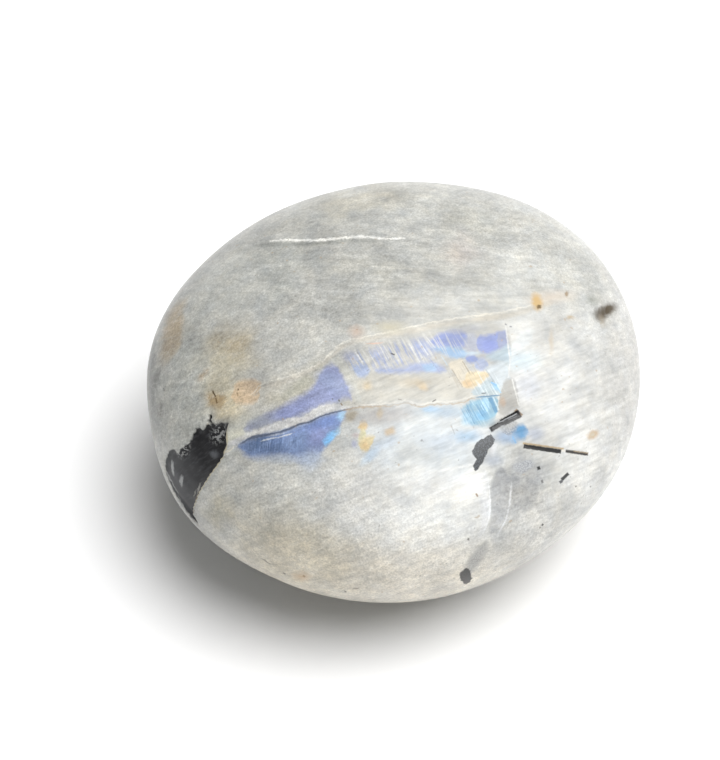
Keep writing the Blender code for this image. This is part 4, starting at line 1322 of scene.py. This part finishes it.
# %% Granular knots
KNOTS = {  # colour, colour of the grains, their share, softness, and points of up, across and width
    "needle_dust": ("#3d3f42", "#a9adb2", 0.5, 0.3, 0.45, (
        (-4.3, 10.9, -0.2), (-3.9, 10.9, 1.2), (-3.5, 10.9, 1.6), (-3.1, 11.3, 1.0), (-2.8, 11.6, -0.2),
    )),
    "speckled_smudge": ("#8b8e92", "#b4b6b8", 0.5, 0.6, 0.7, (
        (-8.0, 12.2, -0.2), (-7.6, 12.2, 1.2), (-7.2, 12.4, 1.9), (-6.8, 12.7, 1.2), (-6.6, 12.9, -0.2),
    )),
    "blob": ("#2d3033", "#55595d", 0.55, 0.12, 0.96, (
        (-7.85, 7.75, -0.2), (-7.5, 7.75, 0.4), (-7.0, 7.9, 0.8), (-6.5, 8.15, 0.85), (-6.2, 8.1, 1.2),
        (-5.8, 8.1, 1.5), (-5.3, 8.4, 1.6), (-4.8, 8.75, 1.6), (-4.5, 9.0, 1.0), (-4.2, 9.15, 0.35),
        (-4.0, 9.2, -0.2),
    )),
    "knot_trail": ("#868684", "#b2b1ae", 0.5, 0.6, 0.75, (
        (-18, 7.1, -0.2), (-17.2, 7.3, 1.0), (-16, 7.9, 1.3), (-15.2, 8.4, 0.8), (-14.4, 8.8, -0.2),
    )),
    "knot": ("#1a1a1a", "#3d3c3b", 0.5, 0.14, 0.96, (
        (-19.1, 6.9, -0.2), (-18.8, 6.9, 0.6), (-18.2, 6.8, 1.15), (-17.8, 6.75, 1.05),
        (-17.4, 6.85, 0.55), (-17.1, 6.9, -0.2),
    )),
}
grains = noise_at(show_face, 7.0, 1.0)
for tone, grain_tone, share, soft, strength, points in KNOTS.values():
    body = trace(ragged_sides, points, soft, strength, True)
    colour = paint(colour, body, tone)
    colour = paint(colour, masked(body, shaped(grains, share - 0.06, share + 0.08)), grain_tone)
print("knots:", len(KNOTS))

# %% [markdown]
# ## Stains
# Rust has stained the stone in a few places: a gold spot with an orange trail, a brown pit near the
# right end, and specks that are scattered all over. The pit's dark brown is partly its stain and partly
# painted shade in its hollow.

# %% Gold, brown and rusty spots
STAINS_AND_PIT_SHADE = {
    "gold_trail": ((15.4, 9.4), (1.7, 0.5), 8, 0.9, "#c6baab", 0.7),
    "gold": ((13.95, 8.95), (0.5, 0.8), 10, 0.5, "#bda172", 0.95),
    "gold_dark": ((14.15, 8.45), (0.25, 0.2), 0, 0.4, "#5b4a2e", 0.85),
    "gold_speck": ((17.0, 9.75), (0.2, 0.25), 0, 0.4, "#8d7a60", 0.8),
    # partly painted shade: the pit is painted dark brown, as its stain and as the shade in its hollow
    "pit_left": ((20.4, 7.7), (0.6, 0.65), 20, 0.5, "#4b4231", 0.9),
    "pit_right": ((21.4, 8.4), (0.9, 0.42), 15, 0.5, "#52483a", 0.9),
    "pit_middle": ((21.0, 8.05), (0.7, 0.45), 15, 0.5, "#4f4638", 0.9),
    "pit_smear": ((20.6, 7.1), (0.25, 0.5), 10, 0.8, "#9a907f", 0.6),
    "pit_grey": ((19.6, 9.2), (0.5, 0.4), 0, 0.8, "#85877f", 0.7),
    "orange_ring": ((19.4, -4.2), (0.55, 0.36), 30, 0.5, "#ac8e68", 0.8),
    "orange_middle": ((19.35, -4.2), (0.28, 0.18), 30, 0.5, "#b6af9e", 0.8),
    "tan_right_a": ((15.3, 5.0), (0.2, 0.9), 0, 0.8, "#b8ab97", 0.6),
    "tan_right_b": ((17.3, 7.4), (0.4, 0.2), 0, 0.6, "#a8977c", 0.7),
    "pink_over_line": ((-3.9, 5.9), (0.6, 0.5), 0, 0.8, "#bfa896", 0.6),
    "yellow_over_line": ((-0.6, 6.3), (1.2, 0.5), 0, 0.8, "#b9b29b", 0.7),
    "orange_foot": ((-9.3, -18.1), (0.7, 0.4), 0, 0.8, "#bd9a6c", 0.6),
    "grey_belly_dot": ((2.5, -4.7), (0.12, 0.12), 0, 0.5, "#7c7e80", 0.8),
}
for middle, half, turn, soft, tone, strength in STAINS_AND_PIT_SHADE.values():
    colour = paint(colour, patch(ragged, middle, half, turn, soft, strength), tone)
print("stains:", len(STAINS_AND_PIT_SHADE))

# %% [markdown]
# ## The pocket
# The broken tourmaline in the pocket is charcoal black and rough, browner and paler towards its left
# and lower end, with a few islands and crumbs of feldspar still stuck in it. That paler grey is partly a
# painted sheen of its glossy face. A thin yellowish line rims its right side, partly painted as the light
# that its raised edge catches. Its places are in the pocket's own plane, across and up from its middle in
# mm.

# %% Broken tourmaline
pocket_turn = Matrix((pocket_across, pocket_up, pocket_out)).transposed().to_euler()
pocket_face = add_node(
    tree,
    "ShaderNodeMapping",
    {
        "Vector": on_object,
        "Location": pocket_middle,
        "Rotation": pocket_turn,
        "Scale": (MM, MM, MM),
    },
    vector_type="TEXTURE",
)
pocket_plain = warped(pocket_face)
pocket_ragged = warped(pocket_face, (2.5, 0.5))
pocket_reach = add_node(tree, "ShaderNodeAttribute", out="Fac", attribute_name="pocket_edge")
off_rim = calculated("ABSOLUTE", calculated("ADD", pocket_reach, 0.1))
right_of_pocket = patch(pocket_plain, (3.0, 1.5), (1.6, 7.5), 8, 0.2, 0.9)
# partly painted highlight: a yellowish line along the pocket's right edge, where the raised lip catches the
# light
colour = paint(colour, masked(shaped(off_rim, 0.14, 0.04), right_of_pocket), "#c8bf9f")
rim_rust = shaped(noise_at(pocket_face, 3.0, 1.0), 0.56, 0.66, 0.8)
low_rim = patch(pocket_plain, (2.6, -3.2), (1.2, 3.0), 0, 0.4)
colour = paint(colour, masked(masked(shaped(off_rim, 0.3, 0.1), low_rim), rim_rust), "#7c6546")
in_pocket = shaped(pocket_reach, -0.05, 0.1)
charcoal = add_node(tree, "ShaderNodeRGB")
charcoal.default_value = linear("#18181a")
pocket_grain = noise_at(drawn_out(pocket_face, 68, 1.4, 0.35), 1.0, 4.0, 0.7)
# partly painted sheen: paler grey towards the pocket's left and lower end, where its glossy face mirrors the
# light
charcoal = paint(charcoal, patch(pocket_plain, (-1.8, -2.5), (3.4, 4), 0, 0.6, 0.9), "#3b3c3f")
charcoal = paint(charcoal, shaped(pocket_grain, 0.5, 0.75, 0.6), "#4d4e52")
POCKET_CRUMBS = {
    "island_left": ((-2.6, -0.5), (0.3, 0.75), 25, 0.35, "#a6a8a8", 0.9),
    "island_right": ((-0.85, -0.65), (0.26, 0.6), 12, 0.35, "#a0a2a2", 0.9),
    "scratches": ((1.3, 4.4), (0.5, 0.3), 20, 0.6, "#5d5f63", 0.8),
    "strip_right": ((1.55, 0.2), (0.1, 0.7), 5, 0.5, "#a3a19b", 0.8),
    "strip_low": ((1.2, -0.6), (0.08, 0.5), -8, 0.5, "#8d8b85", 0.8),
    "tan_low": ((1.7, -1.2), (0.2, 0.8), 0, 0.7, "#8c7759", 0.8),
    "rim_stripe": ((-2.6, -2.3), (1.4, 0.12), -20, 0.5, "#a5a6a5", 0.8),
    "rim_stripe_low": ((-0.3, -3.7), (0.9, 0.1), -35, 0.5, "#a5a6a5", 0.8),
}
for middle, half, turn, soft, tone, strength in POCKET_CRUMBS.values():
    charcoal = paint(charcoal, patch(pocket_ragged, middle, half, turn, soft, strength), tone)
crumbs = noise_at(pocket_face, 3.6, 1.0)
crumb_places = calculated(
    "MAXIMUM",
    patch(pocket_plain, (-2.4, 2.7), (0.9, 1.1), 20, 0.4),
    patch(pocket_plain, (0.3, 6.2), (0.9, 1.0), 0, 0.4, 0.8),
)
charcoal = paint(charcoal, masked(crumb_places, shaped(crumbs, 0.5, 0.58, 0.85)), "#a2a3a2")
colour = paint(colour, in_pocket, charcoal)
print("crumbs in the pocket:", len(POCKET_CRUMBS))

# %% [markdown]
# ## Finish
# The polish is a satin one: it mirrors the soft boxes only as a broad shine. The broken tourmaline is
# duller.

# %% Finish
tree.links.new(colour, gem_shader.inputs["Base Color"])
roughness = add_node(tree, "ShaderNodeMapRange", {"Value": in_pocket, "To Min": 0.34, "To Max": 0.5})
tree.links.new(roughness, gem_shader.inputs["Roughness"])
gem_shader.inputs["IOR"].default_value = 1.53
gem_shader.inputs["Specular IOR Level"].default_value = 0.35
print("nodes in the stone's material:", len(tree.nodes))

# %% [markdown]
# ## Hand-over
# The stone rides on the part's one body and stands for its solid.

# %% Hand-over
stone.data.materials.clear()
stone.data.materials.append(gem)
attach(stone, "root")
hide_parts(NODE)
